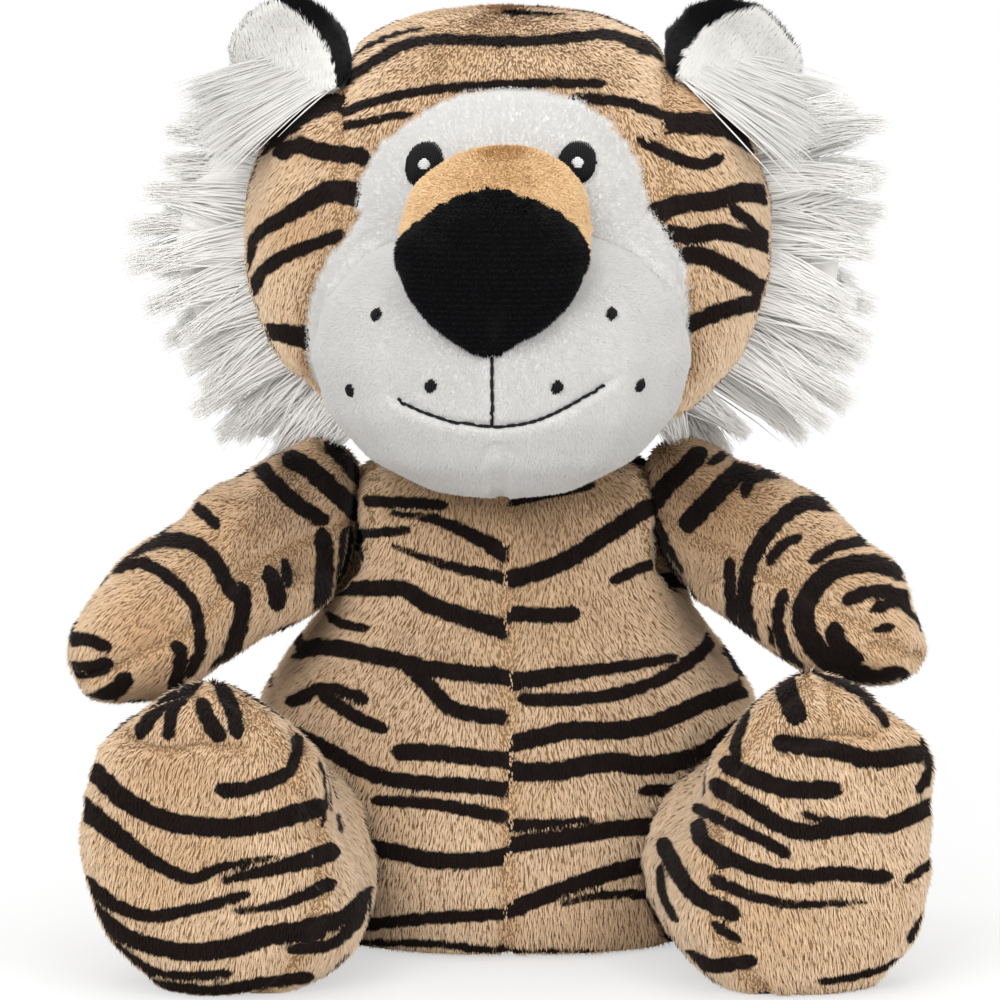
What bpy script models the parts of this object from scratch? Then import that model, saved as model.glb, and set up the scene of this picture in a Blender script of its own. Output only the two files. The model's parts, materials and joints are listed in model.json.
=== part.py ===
"""Plush tiger that sits upright with its legs stretched forward and its soles shown.

Left and right are as seen from the front. The toy faces -Y, up is +Z, and the
origin is the middle of its flat seat. Every cover is sewn from panels round a
sealed filling, and each limb turns on the rounded root that is sewn into the
torso, which stands here for the bending of the seam.
"""

import math

import bmesh
import bpy
from mathutils import Matrix, Vector

# Cloth and clearances
cover_thickness = 0.0016
seam_gap = 0.0003
overrun = 0.004
stitch_opening_share = 0.4

# Torso
torso_height = 0.099
torso_half_width = 0.0535
torso_half_depth = 0.042
torso_set_back = 0.006
side_seam_set_back = 0.003
seat_thickness = 0.0016
torso_ring_shares = (
    (-0.04, 0.0, 0.0),
    (-0.02, 0.66, 0.64),
    (0.045, 0.9, 0.88),
    (0.14, 0.975, 0.97),
    (0.26, 1.0, 1.0),
    (0.38, 0.975, 0.965),
    (0.48, 0.915, 0.9),
    (0.565, 0.82, 0.81),
    (0.645, 0.71, 0.72),
    (0.76, 0.6, 0.62),
    (0.86, 0.545, 0.56),
    (0.915, 0.475, 0.49),
    (0.965, 0.34, 0.35),
    (1.0, 0.0, 0.0),
)

# Pellet bag in the bottom of the torso
bag_half_width = 0.026
bag_half_depth = 0.02
bag_half_height = 0.009
bag_height = 0.007
bag_set_back = 0.013

# Head
head_half_width = 0.052
head_half_depth = 0.042
head_half_height = 0.045
neck_sink = 0.004
head_height = torso_height - neck_sink + head_half_height
head_squareness = 2.2
crown_half_width = 0.03
neck_opening_radius = 0.0145
head_turn_at_rest = math.radians(-2.1)

# White face, cut out of the head by this outline of one half
face_width_share = 0.7154
face_height_share = 1.4867
face_foot_share = 0.8
face_outline_shares = (
    (0.0, 1.0),
    (0.2, 0.984),
    (0.38, 0.937),
    (0.515, 0.885),
    (0.62, 0.84),
    (0.675, 0.785),
    (0.73, 0.667),
    (0.805, 0.571),
    (0.895, 0.511),
    (0.945, 0.444),
    (0.975, 0.312),
    (0.8, 0.12),
    (0.0, 0.0),
)

# Muzzle
muzzle_share_of_head = (0.7115, 0.6667, 0.6333)
muzzle_forward_share = 0.8095
muzzle_drop_share = 0.4444
muzzle_half_width = muzzle_share_of_head[0] * head_half_width
muzzle_half_depth = muzzle_share_of_head[1] * head_half_depth
muzzle_half_height = muzzle_share_of_head[2] * head_half_height
muzzle_forward = muzzle_forward_share * head_half_depth
muzzle_height = head_height - muzzle_drop_share * head_half_height

# Bridge of the nose and the nose itself
bridge_half_width = 0.0175
bridge_half_depth = 0.018
bridge_half_height = 0.0165
bridge_lead = 0.0105
bridge_forward = muzzle_forward + bridge_lead
bridge_rise = 0.0235
bridge_height = muzzle_height + bridge_rise
nose_half_width = 0.0176
nose_half_depth = 0.014
nose_half_height = 0.0155
nose_lead = 0.0195
nose_forward = muzzle_forward + nose_lead
nose_rise = 0.0182
nose_height = muzzle_height + nose_rise
nose_tip_share = 0.3
nose_shoulder_share = 0.25

# Stitched eyes, whisker dots and mouth
eye_spread_share = 0.279
eye_rise_share = 0.34
eye_half_width = 0.0035
eye_half_height = 0.0044
eye_thickness = 0.0013
glint_half_width = 0.0012
glint_half_height = 0.001
glint_thickness = 0.0006
dot_radius = 0.0012
dot_place_shares = ((0.592, 0.305), (0.73, -0.19), (0.319, -0.16))
mouth_thread_radius = 0.00035
mouth_width_share = 0.54
mouth_foot_share = 0.41
mouth_corner_rise = 0.0068
mouth_points = 4

# Mane, one crescent of long pile on each side of the head
mane_length = 0.025
mane_reach = head_half_width + mane_length
mane_half_thickness = 0.008
mane_set_back = 0.006
mane_lower_angle = math.radians(-33)
mane_upper_angle = math.radians(23)
mane_rings = 7
mane_end_reach_share = 0.86
mane_root_depth = 0.003

# Ears
ear_half_width = 0.012
ear_half_height = 0.013
ear_half_thickness = 0.0034
ear_spread_share = 0.827
ear_set_back = 0.004
ear_foot_share = 0.5667
ear_rise = 0.01
ear_lean = math.radians(25)
ear_fold_limit = math.radians(15)

# Arms
shoulder_spread = 0.036
shoulder_height_share = 0.8384
shoulder_radius = 0.0145
arm_reach_side = 0.0435
arm_reach_forward = 0.037
arm_drop = 0.0245
arm_radius = 0.0158
arm_lift_limit = math.radians(35)
arm_ring_shares = (
    (0.0, 0.0),
    (0.02, 0.84),
    (0.2, 0.91),
    (0.38, 0.985),
    (0.56, 1.0),
    (0.72, 0.97),
    (0.86, 0.85),
    (0.95, 0.58),
    (1.0, 0.0),
)

# Legs and feet
hip_spread = 0.037
hip_forward = 0.014
hip_radius = 0.0175
hip_clearance = 0.0035
hip_height = hip_radius + hip_clearance
leg_length = 0.0575
left_leg_turn = math.radians(22)
right_leg_turn = math.radians(25)
foot_half_width = 0.0235
foot_half_height = 0.0304
foot_height = 0.0299
leg_turn_in_limit = math.radians(15)
leg_turn_out_limit = math.radians(4)
sole_seam_share = 0.86
leg_ring_shares = (
    (0.0, 0.0, 0.0, 0.0),
    (0.02, 0.72, 0.5, 0.0),
    (0.2, 0.8, 0.56, 0.1),
    (0.38, 0.86, 0.66, 0.25),
    (0.53, 0.92, 0.8, 0.6),
    (0.68, 0.98, 0.95, 0.9),
    (0.8, 1.0, 1.0, 1.0),
    (0.9, 0.94, 0.94, 1.0),
    (0.965, 0.76, 0.76, 1.0),
    (1.0, 0.0, 0.0, 1.0),
)

# Tail, curled on the ground behind the torso
tail_root_set_back = 0.047
tail_root_height = 0.012
tail_root_radius = 0.007
tail_radius = 0.0075
tail_curl_radius = 0.03
tail_curl_angle = math.radians(125)
tail_tip_height = 0.0082
tail_swing_limit = math.radians(20)
tail_ring_shares = (0.0, 0.86, 0.88, 0.9, 0.92, 0.96, 1.0, 0.96, 0.7, 0.0)

# Sides of the round forms
body_sides = 18
head_sides = 18
muzzle_sides = 16
limb_sides = 12
root_sides = 16
small_sides = 10
stitch_sides = 6

# Faces that bend less than this after a cut are made one flat face again
flat_angle = math.radians(0.1)
merge_distance = 0.000001

forward = Vector((0, -1, 0))
upward = Vector((0, 0, 1))

tan = (0.68, 0.42, 0.2)
white = (0.86, 0.84, 0.8)
black = (0.03, 0.027, 0.025)
fibre = (0.9, 0.9, 0.88)
pellet = (0.75, 0.76, 0.78)


def clear_scene():
    for old in list(bpy.data.objects):
        bpy.data.objects.remove(old)


def solid_from(bm):
    bm.normal_update()
    bmesh.ops.recalc_face_normals(bm, faces=bm.faces)
    bmesh.ops.triangulate(bm, faces=bm.faces)
    mesh = bpy.data.meshes.new("shape")
    bm.to_mesh(mesh)
    bm.free()
    solid = bpy.data.objects.new("shape", mesh)
    bpy.context.scene.collection.objects.link(solid)
    return solid


def discard(*solids):
    for solid in solids:
        bpy.data.objects.remove(solid)


def copied(solid):
    twin = solid.copy()
    twin.data = solid.data.copy()
    bpy.context.scene.collection.objects.link(twin)
    return twin


def grown(solid, distance):
    """A copy of the solid with its surface moved out, or in where the distance is negative."""
    bm = bmesh.new()
    bm.from_mesh(solid.data)
    bm.normal_update()
    moves = [(vert, vert.co + vert.normal * distance) for vert in bm.verts]
    for vert, place in moves:
        vert.co = place
    return solid_from(bm)


def mirrored(solid):
    """A copy of the solid on the other side of the middle."""
    twin = copied(solid)
    twin.data.transform(Matrix.Diagonal((-1, 1, 1, 1)))
    twin.data.flip_normals()
    return twin


def turned(solid, pivot, axis, angle):
    """A copy of the solid turned about an axis through the pivot."""
    twin = copied(solid)
    there = Matrix.Translation(pivot)
    twin.data.transform(there @ Matrix.Rotation(angle, 4, axis) @ there.inverted())
    return twin


def combine(solid, operation, tool):
    """Cuts, joins or intersects the solid with a tool, which is used up."""
    change = solid.modifiers.new(operation, "BOOLEAN")
    change.operation = operation
    change.solver = "EXACT"
    change.object = tool
    bpy.context.view_layer.objects.active = solid
    bpy.ops.object.modifier_apply(modifier=change.name)
    discard(tool)
    return solid


def less(solid, *tools):
    for tool in tools:
        combine(solid, "DIFFERENCE", tool)
    return solid


def ball(centre, half_sizes, sides, squareness=2.0):
    """A ball drawn out to three half sizes; more squareness fills its corners."""
    bm = bmesh.new()
    bmesh.ops.create_uvsphere(bm, u_segments=sides, v_segments=sides // 2, radius=1)
    for vert in bm.verts:
        fullness = sum(abs(part) ** squareness for part in vert.co) ** (-1 / squareness)
        vert.co = centre + Vector(part * size * fullness for part, size in zip(vert.co, half_sizes))
    return solid_from(bm)


def ring_form(rings, sides):
    """A closed form through rings of (centre, side, up); the first and last are points."""
    bm = bmesh.new()
    steps = len(rings) - 1
    bmesh.ops.create_uvsphere(bm, u_segments=sides, v_segments=steps, radius=1)
    for vert in bm.verts:
        latitude = math.acos(max(-1.0, min(1.0, vert.co.z)))
        centre, side, up = rings[round(latitude / math.pi * steps)]
        around = Vector((vert.co.x, vert.co.y)).normalized()
        vert.co = centre + side * around.x + up * around.y
    return solid_from(bm)


def block(low, high):
    """A box between two corners."""
    bm = bmesh.new()
    low, high = Vector(low), Vector(high)
    bmesh.ops.create_cube(bm, size=1)
    bmesh.ops.scale(bm, vec=high - low, verts=bm.verts)
    bmesh.ops.translate(bm, vec=(low + high) / 2, verts=bm.verts)
    return solid_from(bm)


def half_space(point, outward):
    """A block that covers everything beyond a plane."""
    span = 2 * (torso_height + mane_reach)
    solid = block((-span, -span, 0), (span, span, 2 * span))
    turn = Vector(outward).to_track_quat("Z", "Y").to_matrix().to_4x4()
    solid.data.transform(Matrix.Translation(point) @ turn)
    return solid


def rod(start, end, radius, sides):
    """A plain round bar between two points."""
    bm = bmesh.new()
    way = end - start
    turn = way.to_track_quat("Z", "Y").to_matrix().to_4x4()
    bmesh.ops.create_cone(
        bm,
        cap_ends=True,
        segments=sides,
        radius1=radius,
        radius2=radius,
        depth=way.length,
        matrix=Matrix.Translation((start + end) / 2) @ turn,
    )
    return solid_from(bm)


def prism(outline, half_depth):
    """The outline of (x, z) points as a plate that is centred on the XZ plane."""
    bm = bmesh.new()
    corners = [bm.verts.new((x, -half_depth, z)) for x, z in outline]
    face = bm.faces.new(corners)
    raised = bmesh.ops.extrude_face_region(bm, geom=[face])["geom"]
    moved = [item for item in raised if isinstance(item, bmesh.types.BMVert)]
    bmesh.ops.translate(bm, vec=(0, 2 * half_depth, 0), verts=moved)
    return solid_from(bm)


def join_flat_faces(solid):
    """Makes one face again of the flat faces that the cuts have split."""
    bm = bmesh.new()
    bm.from_mesh(solid.data)
    bmesh.ops.dissolve_limit(bm, angle_limit=flat_angle, verts=bm.verts, edges=bm.edges)
    bmesh.ops.triangulate(bm, faces=bm.faces)
    bm.to_mesh(solid.data)
    bm.free()


def finish(solid, name, colour, roughness=0.95):
    """Names the finished piece and gives it its own material."""
    join_flat_faces(solid)
    solid.name = name
    solid.data.name = name
    cloth = bpy.data.materials.new(name)
    cloth.use_nodes = True
    shader = cloth.node_tree.nodes["Principled BSDF"]
    shader.inputs["Base Color"].default_value = (*colour, 1)
    shader.inputs["Roughness"].default_value = roughness
    shader.inputs["Metallic"].default_value = 0
    solid.data.materials.clear()
    solid.data.materials.append(cloth)
    solid.data.shade_smooth()
    solid.data.set_sharp_from_angle(angle=math.radians(40))
    return solid


def hang(joint_name, pivot, pieces):
    """Puts the pieces of a moving body under an empty on its joint."""
    joint = bpy.data.objects.new(joint_name, None)
    joint.location = pivot
    bpy.context.scene.collection.objects.link(joint)
    for piece in pieces:
        piece.data.transform(Matrix.Translation(-joint.location))
        piece.parent = joint
    return joint


def torso_form():
    rings = []
    for height, width, depth in torso_ring_shares:
        centre = Vector((0, torso_set_back, height * torso_height))
        side = Vector((width * torso_half_width, 0, 0))
        rings.append((centre, side, Vector((0, depth * torso_half_depth, 0))))
    return ring_form(rings, body_sides)


def head_form():
    sizes = (head_half_width, head_half_depth, head_half_height)
    return ball(Vector((0, 0, head_height)), sizes, head_sides, head_squareness)


def muzzle_form():
    sizes = (muzzle_half_width, muzzle_half_depth, muzzle_half_height)
    return ball(Vector((0, -muzzle_forward, muzzle_height)), sizes, muzzle_sides)


def bridge_form():
    sizes = (bridge_half_width, bridge_half_depth, bridge_half_height)
    return ball(Vector((0, -bridge_forward, bridge_height)), sizes, limb_sides)


def nose_form():
    """An egg that narrows from its shoulders to the tip over the mouth."""
    sizes = (nose_half_width, nose_half_depth, nose_half_height)
    solid = ball(Vector((0, 0, 0)), sizes, limb_sides)
    for vert in solid.data.vertices:
        depth = max(0.0, nose_shoulder_share - vert.co.z / nose_half_height)
        fall = depth / (1 + nose_shoulder_share)
        vert.co.x *= 1 - (1 - nose_tip_share) * fall
    solid.data.transform(Matrix.Translation((0, -nose_forward, nose_height)))
    return solid


def root_ball(pivot, axis, radius):
    """A ball on a pivot with its poles on the axis that it turns on."""
    solid = ball(Vector((0, 0, 0)), (radius, radius, radius), root_sides)
    turn = axis.to_track_quat("Z", "Y").to_matrix().to_4x4()
    solid.data.transform(Matrix.Translation(pivot) @ turn)
    return solid


def socket(pivot, axis, root_radius):
    """A hollow whose flat sides stay clear of the edges of a root that turns in it."""
    return root_ball(pivot, axis, (root_radius + seam_gap) / math.cos(math.pi / root_sides))


def shoulder(side):
    return Vector((side * shoulder_spread, 0, shoulder_height_share * torso_height))


def hip(side):
    return Vector((side * hip_spread, -hip_forward, hip_height))


def tail_root():
    return Vector((0, tail_root_set_back, tail_root_height))


def sockets():
    """The hollows in the torso for the roots of the arms, the legs and the tail."""
    hollows = [socket(tail_root(), upward, tail_root_radius)]
    for side in (-1, 1):
        hollows.append(socket(shoulder(side), forward, shoulder_radius))
        hollows.append(socket(hip(side), upward, hip_radius))
    return hollows


def head_path():
    """The round space that the head sweeps as it turns, with a gap."""
    width = head_half_width + seam_gap
    sizes = (width, width, head_half_height + seam_gap)
    return ball(Vector((0, 0, head_height)), sizes, head_sides, head_squareness)


def torso_layer(inset, floor):
    """The torso's form, drawn in by the inset and cut flat at the floor height."""
    form = torso_form()
    layer = grown(form, -inset)
    discard(form)
    return less(layer, half_space((0, 0, floor), (0, 0, -1)))


def make_torso():
    wall_foot = seat_thickness + seam_gap
    cavity = torso_layer(cover_thickness, 0)
    shell = less(torso_layer(0, wall_foot), cavity)
    less(shell, *sockets(), head_path())
    half_seam = seam_gap / 2
    half = less(shell, half_space((half_seam, 0, 0), (-1, 0, 0)))
    for facing, face_name in ((-1, "front"), (1, "back")):
        seam = side_seam_set_back + facing * half_seam
        panel = less(copied(half), half_space((0, seam, 0), (0, -facing, 0)))
        finish(mirrored(panel), f"torso_{face_name}_left", tan)
        finish(panel, f"torso_{face_name}_right", tan)
    discard(half)

    seat = less(torso_layer(0, 0), half_space((0, 0, seat_thickness), (0, 0, 1)))
    finish(seat, "seat_panel", tan)

    bag_form = ball(
        Vector((0, bag_set_back, bag_height)),
        (bag_half_width, bag_half_depth, bag_half_height),
        limb_sides,
    )
    filling = torso_layer(cover_thickness + seam_gap, wall_foot)
    less(filling, *sockets(), head_path(), grown(bag_form, seam_gap))
    finish(filling, "torso_stuffing", fibre)
    finish(less(bag_form, half_space((0, 0, wall_foot), (0, 0, -1))), "pellet_bag", pellet)


def face_plate(margin):
    """The plate that cuts the white face out of the head, wider by the margin."""
    half = []
    foot = head_height - face_foot_share * head_half_height
    for across, rise in face_outline_shares:
        x = across * face_width_share * head_half_width
        half.append((x, foot + rise * face_height_share * head_half_height))
    outline = half + [(-x, z) for x, z in reversed(half[1:-1])]
    plate = prism(outline, head_half_depth + overrun)
    wider = grown(plate, margin)
    discard(plate)
    return less(wider, half_space((0, 0, 0), (0, 1, 0)))


def head_layer(inset):
    form = head_form()
    layer = grown(form, -inset)
    discard(form)
    return layer


def muzzle_layer(inset):
    form = muzzle_form()
    layer = grown(form, -inset)
    discard(form)
    return layer


def neck_opening():
    foot = Vector((0, 0, head_height - head_half_height - overrun))
    return rod(foot, Vector((0, 0, head_height)), neck_opening_radius, limb_sides)


def make_head():
    half_seam = seam_gap / 2
    shell = less(head_layer(0), head_layer(cover_thickness), neck_opening())
    less(shell, muzzle_layer(-seam_gap))

    pieces = []
    around = less(copied(shell), face_plate(half_seam))
    crown = copied(around)
    for side, side_name in ((-1, "left"), (1, "right")):
        edge = side * (crown_half_width - half_seam)
        less(crown, half_space((edge, 0, 0), (side, 0, 0)))
        cheek_edge = side * (crown_half_width + half_seam)
        cheek = less(copied(around), half_space((cheek_edge, 0, 0), (-side, 0, 0)))
        pieces.append(finish(cheek, f"cheek_{side_name}", tan))
        patch = combine(copied(shell), "INTERSECT", face_plate(-half_seam))
        less(patch, half_space((side * half_seam, 0, 0), (-side, 0, 0)))
        pieces.append(finish(patch, f"eye_patch_{side_name}", white))
    pieces.append(finish(crown, "crown_panel", tan))
    discard(shell, around)

    filling = head_layer(cover_thickness + seam_gap)
    pieces.append(finish(filling, "head_stuffing", fibre))
    return pieces


def make_muzzle():
    half_seam = seam_gap / 2
    pieces = []
    behind = head_layer(cover_thickness)
    cup = less(muzzle_layer(0), muzzle_layer(cover_thickness), copied(behind))
    for side, side_name in ((-1, "left"), (1, "right")):
        panel = less(copied(cup), half_space((side * half_seam, 0, 0), (-side, 0, 0)))
        pieces.append(finish(panel, f"muzzle_{side_name}", white))
    discard(cup)
    filling = less(muzzle_layer(cover_thickness + seam_gap), behind)
    pieces.append(finish(filling, "muzzle_stuffing", fibre))

    bridge = less(bridge_form(), head_layer(-seam_gap), muzzle_layer(-seam_gap))
    pieces.append(finish(bridge, "nose_bridge", tan))
    plain_bridge = bridge_form()
    nose = less(nose_form(), grown(plain_bridge, seam_gap), muzzle_layer(-seam_gap))
    discard(plain_bridge)
    pieces.append(finish(nose, "nose", black, 0.8))
    return pieces


def ball_front(x, z, centre, sizes):
    """The Y of the front of a ball at a place (x, z) on its face."""
    left_over = 1 - ((x - centre.x) / sizes[0]) ** 2 - ((z - centre.z) / sizes[2]) ** 2
    return centre.y - sizes[1] * math.sqrt(left_over)


def head_front(x, z):
    sizes = (head_half_width, head_half_depth, head_half_height)
    return ball_front(x, z, Vector((0, 0, head_height)), sizes)


def muzzle_front(x, z):
    sizes = (muzzle_half_width, muzzle_half_depth, muzzle_half_height)
    return ball_front(x, z, Vector((0, -muzzle_forward, muzzle_height)), sizes)


def make_eyes():
    pieces = []
    across = eye_spread_share * head_half_width
    height = head_height + eye_rise_share * head_half_height
    for side, side_name in ((-1, "left"), (1, "right")):
        place = Vector((side * across, head_front(across, height), height))
        depth = eye_thickness + seam_gap
        form = ball(place, (eye_half_width, depth, eye_half_height), small_sides)
        glint_place = place + forward * depth
        glint_sizes = (glint_half_width, glint_thickness + seam_gap, glint_half_height)
        glint = ball(glint_place, glint_sizes, stitch_sides)
        less(glint, grown(form, seam_gap))
        pieces.append(finish(glint, f"eye_glint_{side_name}", white, 0.5))
        eye = less(form, head_layer(-seam_gap))
        pieces.append(finish(eye, f"eye_{side_name}", black, 0.5))
    return pieces


def make_dots():
    pieces = []
    for side, side_name in ((-1, "left"), (1, "right")):
        for number, (across, rise) in enumerate(dot_place_shares, start=1):
            x = side * across * muzzle_half_width
            z = muzzle_height + rise * muzzle_half_height
            place = Vector((x, muzzle_front(x, z), z))
            dot = ball(place, (dot_radius, dot_radius, dot_radius), stitch_sides)
            less(dot, muzzle_layer(-seam_gap))
            pieces.append(finish(dot, f"whisker_dot_{side_name}_{number}", black, 0.5))
    return pieces


def thread(points):
    """A stitched line as a closed round tube through the points."""
    line = bpy.data.curves.new("thread", "CURVE")
    line.dimensions = "3D"
    line.bevel_depth = mouth_thread_radius
    line.bevel_resolution = 1
    line.use_fill_caps = True
    spline = line.splines.new("POLY")
    spline.points.add(len(points) - 1)
    for knot, point in zip(spline.points, points):
        knot.co = (*point, 1)
    guide = bpy.data.objects.new("thread", line)
    bpy.context.scene.collection.objects.link(guide)
    seen = guide.evaluated_get(bpy.context.evaluated_depsgraph_get())
    bm = bmesh.new()
    bm.from_mesh(seen.to_mesh())
    bmesh.ops.remove_doubles(bm, verts=bm.verts, dist=merge_distance)
    bpy.data.objects.remove(guide)
    return solid_from(bm)


def on_muzzle(x, z):
    lift = mouth_thread_radius + seam_gap
    return Vector((x, muzzle_front(x, z) - lift, z))


def make_mouth():
    """The line down from the nose and, just below it, the curve of the mouth."""
    curve = []
    mouth_foot = muzzle_height - mouth_foot_share * muzzle_half_height
    mouth_half_width = mouth_width_share * muzzle_half_width
    for step in range(2 * mouth_points + 1):
        share = step / mouth_points - 1
        z = mouth_foot + mouth_corner_rise * share * share
        curve.append(on_muzzle(share * mouth_half_width, z))
    top = nose_height - nose_half_height
    foot = mouth_foot + 2 * mouth_thread_radius
    fall = (top - foot) / mouth_points
    line = [on_muzzle(0, top - fall * step) for step in range(mouth_points + 1)]
    return [
        finish(thread(curve), "mouth_curve", black, 0.5),
        finish(thread(line), "mouth_line", black, 0.5),
    ]


def mane_form(side):
    """A crescent round the cheek that is thick at the root and thin at its rim."""
    rings = []
    for step in range(mane_rings + 1):
        share = step / mane_rings
        angle = mane_lower_angle + (mane_upper_angle - mane_lower_angle) * share
        way = Vector((side * math.cos(angle), 0, math.sin(angle)))
        middle = 1 - (2 * share - 1) ** 2
        reach = mane_reach * (mane_end_reach_share + (1 - mane_end_reach_share) * middle)
        squash = math.hypot(math.cos(angle) / head_half_width, math.sin(angle) / head_half_height)
        root = 1 / squash - mane_root_depth
        fullness = math.sqrt(middle)
        centre = Vector((0, mane_set_back, head_height)) + way * (root + reach) / 2
        spread = way * (reach - root) / 2 * fullness
        rings.append((centre, spread, -forward * mane_half_thickness * fullness))
    return ring_form(rings, small_sides)


def ear_frame(side):
    """The middle of an ear's foot, its width direction and its height direction."""
    spread = ear_spread_share * head_half_width
    height = head_height + ear_foot_share * head_half_height
    foot = Vector((side * spread, ear_set_back, height))
    across = Vector((side * math.cos(ear_lean), 0, -math.sin(ear_lean)))
    rise = Vector((side * math.sin(ear_lean), 0, math.cos(ear_lean)))
    return foot, across, rise


def ear_form(side):
    foot, across, rise = ear_frame(side)
    solid = ball(Vector((0, 0, 0)), (ear_half_width, ear_half_thickness, ear_half_height), limb_sides)
    axes = Matrix((across, forward * -1, rise)).transposed().to_4x4()
    solid.data.transform(Matrix.Translation(foot + rise * ear_rise) @ axes)
    if side < 0:
        solid.data.flip_normals()
    return solid


def make_ear(side, side_name):
    foot, across, _ = ear_frame(side)
    form = ear_form(side)
    space = head_layer(-seam_gap)
    for turn in (-1, 1):
        less(form, turned(space, foot, across, -turn * ear_fold_limit))
    discard(space)
    half_seam = seam_gap / 2
    middle = foot.y
    front = less(copied(form), half_space((0, middle - half_seam, 0), (0, 1, 0)))
    back = less(form, half_space((0, middle + half_seam, 0), (0, -1, 0)))
    pieces = [
        finish(front, f"ear_front_{side_name}", white),
        finish(back, f"ear_back_{side_name}", black),
    ]
    return hang(f"ear_{side_name}_joint", foot, pieces)


def make_mane(side, side_name):
    """The crescent, cut by the head and by the ear as it folds."""
    form = mane_form(side)
    less(form, head_layer(-seam_gap))
    foot, across, _ = ear_frame(side)
    plain_ear = ear_form(side)
    ear_space = grown(plain_ear, seam_gap)
    for turn in (-1, 1):
        less(form, turned(ear_space, foot, across, turn * ear_fold_limit))
    discard(plain_ear, ear_space)
    return finish(form, f"mane_{side_name}", white)


def limb_layer(form, pivot, root_radius, axis, angles, inset):
    """A limb, drawn in by the inset, cut by the torso at both ends of its swing and
    joined to the round root that turns in the torso's hollow."""
    layer = grown(form, -inset)
    torso = torso_form()
    space = grown(torso, seam_gap + inset)
    for angle in angles:
        less(layer, turned(space, pivot, axis, -angle))
    discard(torso, space)
    return combine(layer, "UNION", root_ball(pivot, axis, root_radius - inset))


def root_opening(pivot, way, root_radius):
    """The open end of a limb's cover, at the inner end of its root."""
    end = pivot - way * (root_radius + overrun)
    return rod(pivot, end, root_radius * stitch_opening_share, small_sides)


def arm_way(side):
    return Vector((side * arm_reach_side, -arm_reach_forward, -arm_drop))


def arm_form(side):
    way = arm_way(side)
    across = way.cross(upward).normalized()
    up = across.cross(way).normalized()
    rings = []
    for along, width in arm_ring_shares:
        radius = width * arm_radius
        rings.append((shoulder(side) + way * along, across * radius, up * radius))
    return ring_form(rings, limb_sides)


def make_arm(side, side_name):
    pivot = shoulder(side)
    angles = (0, side * arm_lift_limit)
    form = arm_form(side)
    outer, cavity, filling = (
        limb_layer(form, pivot, shoulder_radius, forward, angles, inset)
        for inset in (0, cover_thickness, cover_thickness + seam_gap)
    )
    discard(form)
    way = arm_way(side).normalized()
    shell = less(outer, cavity, root_opening(pivot, way, shoulder_radius))
    up = way.cross(upward).normalized().cross(way).normalized()
    half_seam = seam_gap / 2
    upper = less(copied(shell), half_space(pivot + up * half_seam, -up))
    under = less(shell, half_space(pivot - up * half_seam, up))
    pieces = [
        finish(upper, f"arm_upper_{side_name}", tan),
        finish(under, f"arm_under_{side_name}", tan),
        finish(filling, f"arm_stuffing_{side_name}", fibre),
    ]
    hang(f"arm_{side_name}_joint", pivot, pieces)


def leg_way(side):
    turn = left_leg_turn if side < 0 else right_leg_turn
    return Vector((side * math.sin(turn), -math.cos(turn), 0))


def leg_form(side):
    way = leg_way(side)
    across = way.cross(upward)
    rings = []
    for along, width, height, rise in leg_ring_shares:
        centre = hip(side) + way * along * leg_length
        centre.z += rise * (foot_height - hip_height)
        rings.append((centre, across * width * foot_half_width, upward * height * foot_half_height))
    return ring_form(rings, limb_sides)


def make_leg(side, side_name):
    pivot = hip(side)
    angles = (-side * leg_turn_in_limit, side * leg_turn_out_limit)
    form = leg_form(side)
    layers = []
    for inset in (0, cover_thickness, cover_thickness + seam_gap):
        layer = limb_layer(form, pivot, hip_radius, upward, angles, inset)
        layers.append(less(layer, half_space((0, 0, inset), (0, 0, -1))))
    outer, cavity, filling = layers
    discard(form)
    way = leg_way(side)
    shell = less(outer, cavity, root_opening(pivot, way, hip_radius))
    seam = pivot + way * leg_length * sole_seam_share
    half_seam = seam_gap / 2
    sole = less(copied(shell), half_space(seam + way * half_seam, -way))
    tube = less(shell, half_space(seam - way * half_seam, way))
    pieces = [
        finish(tube, f"leg_side_{side_name}", tan),
        finish(sole, f"sole_{side_name}", tan),
        finish(filling, f"leg_stuffing_{side_name}", fibre),
    ]
    hang(f"leg_{side_name}_joint", pivot, pieces)


def tail_form():
    """A round tail that curls to one side while it sinks to the ground."""
    rings = []
    steps = len(tail_ring_shares) - 1
    for step, width in enumerate(tail_ring_shares):
        share = step / steps
        angle = share * tail_curl_angle
        across = Vector((-math.cos(angle), math.sin(angle), 0))
        centre = tail_root() + (across + Vector((1, 0, 0))) * tail_curl_radius
        centre.z += share * (tail_tip_height - tail_root_height)
        radius = width * tail_radius
        rings.append((centre, across * radius, upward * radius))
    return ring_form(rings, small_sides)


def make_tail():
    pivot = tail_root()
    angles = (-tail_swing_limit, tail_swing_limit)
    form = tail_form()
    outer, cavity, filling = (
        limb_layer(form, pivot, tail_root_radius, upward, angles, inset)
        for inset in (0, cover_thickness, cover_thickness + seam_gap)
    )
    discard(form)
    cover = less(outer, cavity, root_opening(pivot, -forward, tail_root_radius))
    pieces = [finish(cover, "tail_cover", tan), finish(filling, "tail_stuffing", fibre)]
    hang("tail_joint", pivot, pieces)


def main():
    clear_scene()
    make_torso()
    head = make_head() + make_muzzle() + make_eyes() + make_dots() + make_mouth()
    ears = []
    for side, side_name in ((-1, "left"), (1, "right")):
        head.append(make_mane(side, side_name))
        ears.append(make_ear(side, side_name))
        make_arm(side, side_name)
        make_leg(side, side_name)
    neck = hang("neck_joint", Vector((0, 0, head_height - head_half_height)), head)
    for ear in ears:
        ear.location -= neck.location
        ear.parent = neck
    neck.rotation_euler.z = head_turn_at_rest
    make_tail()


main()
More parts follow.
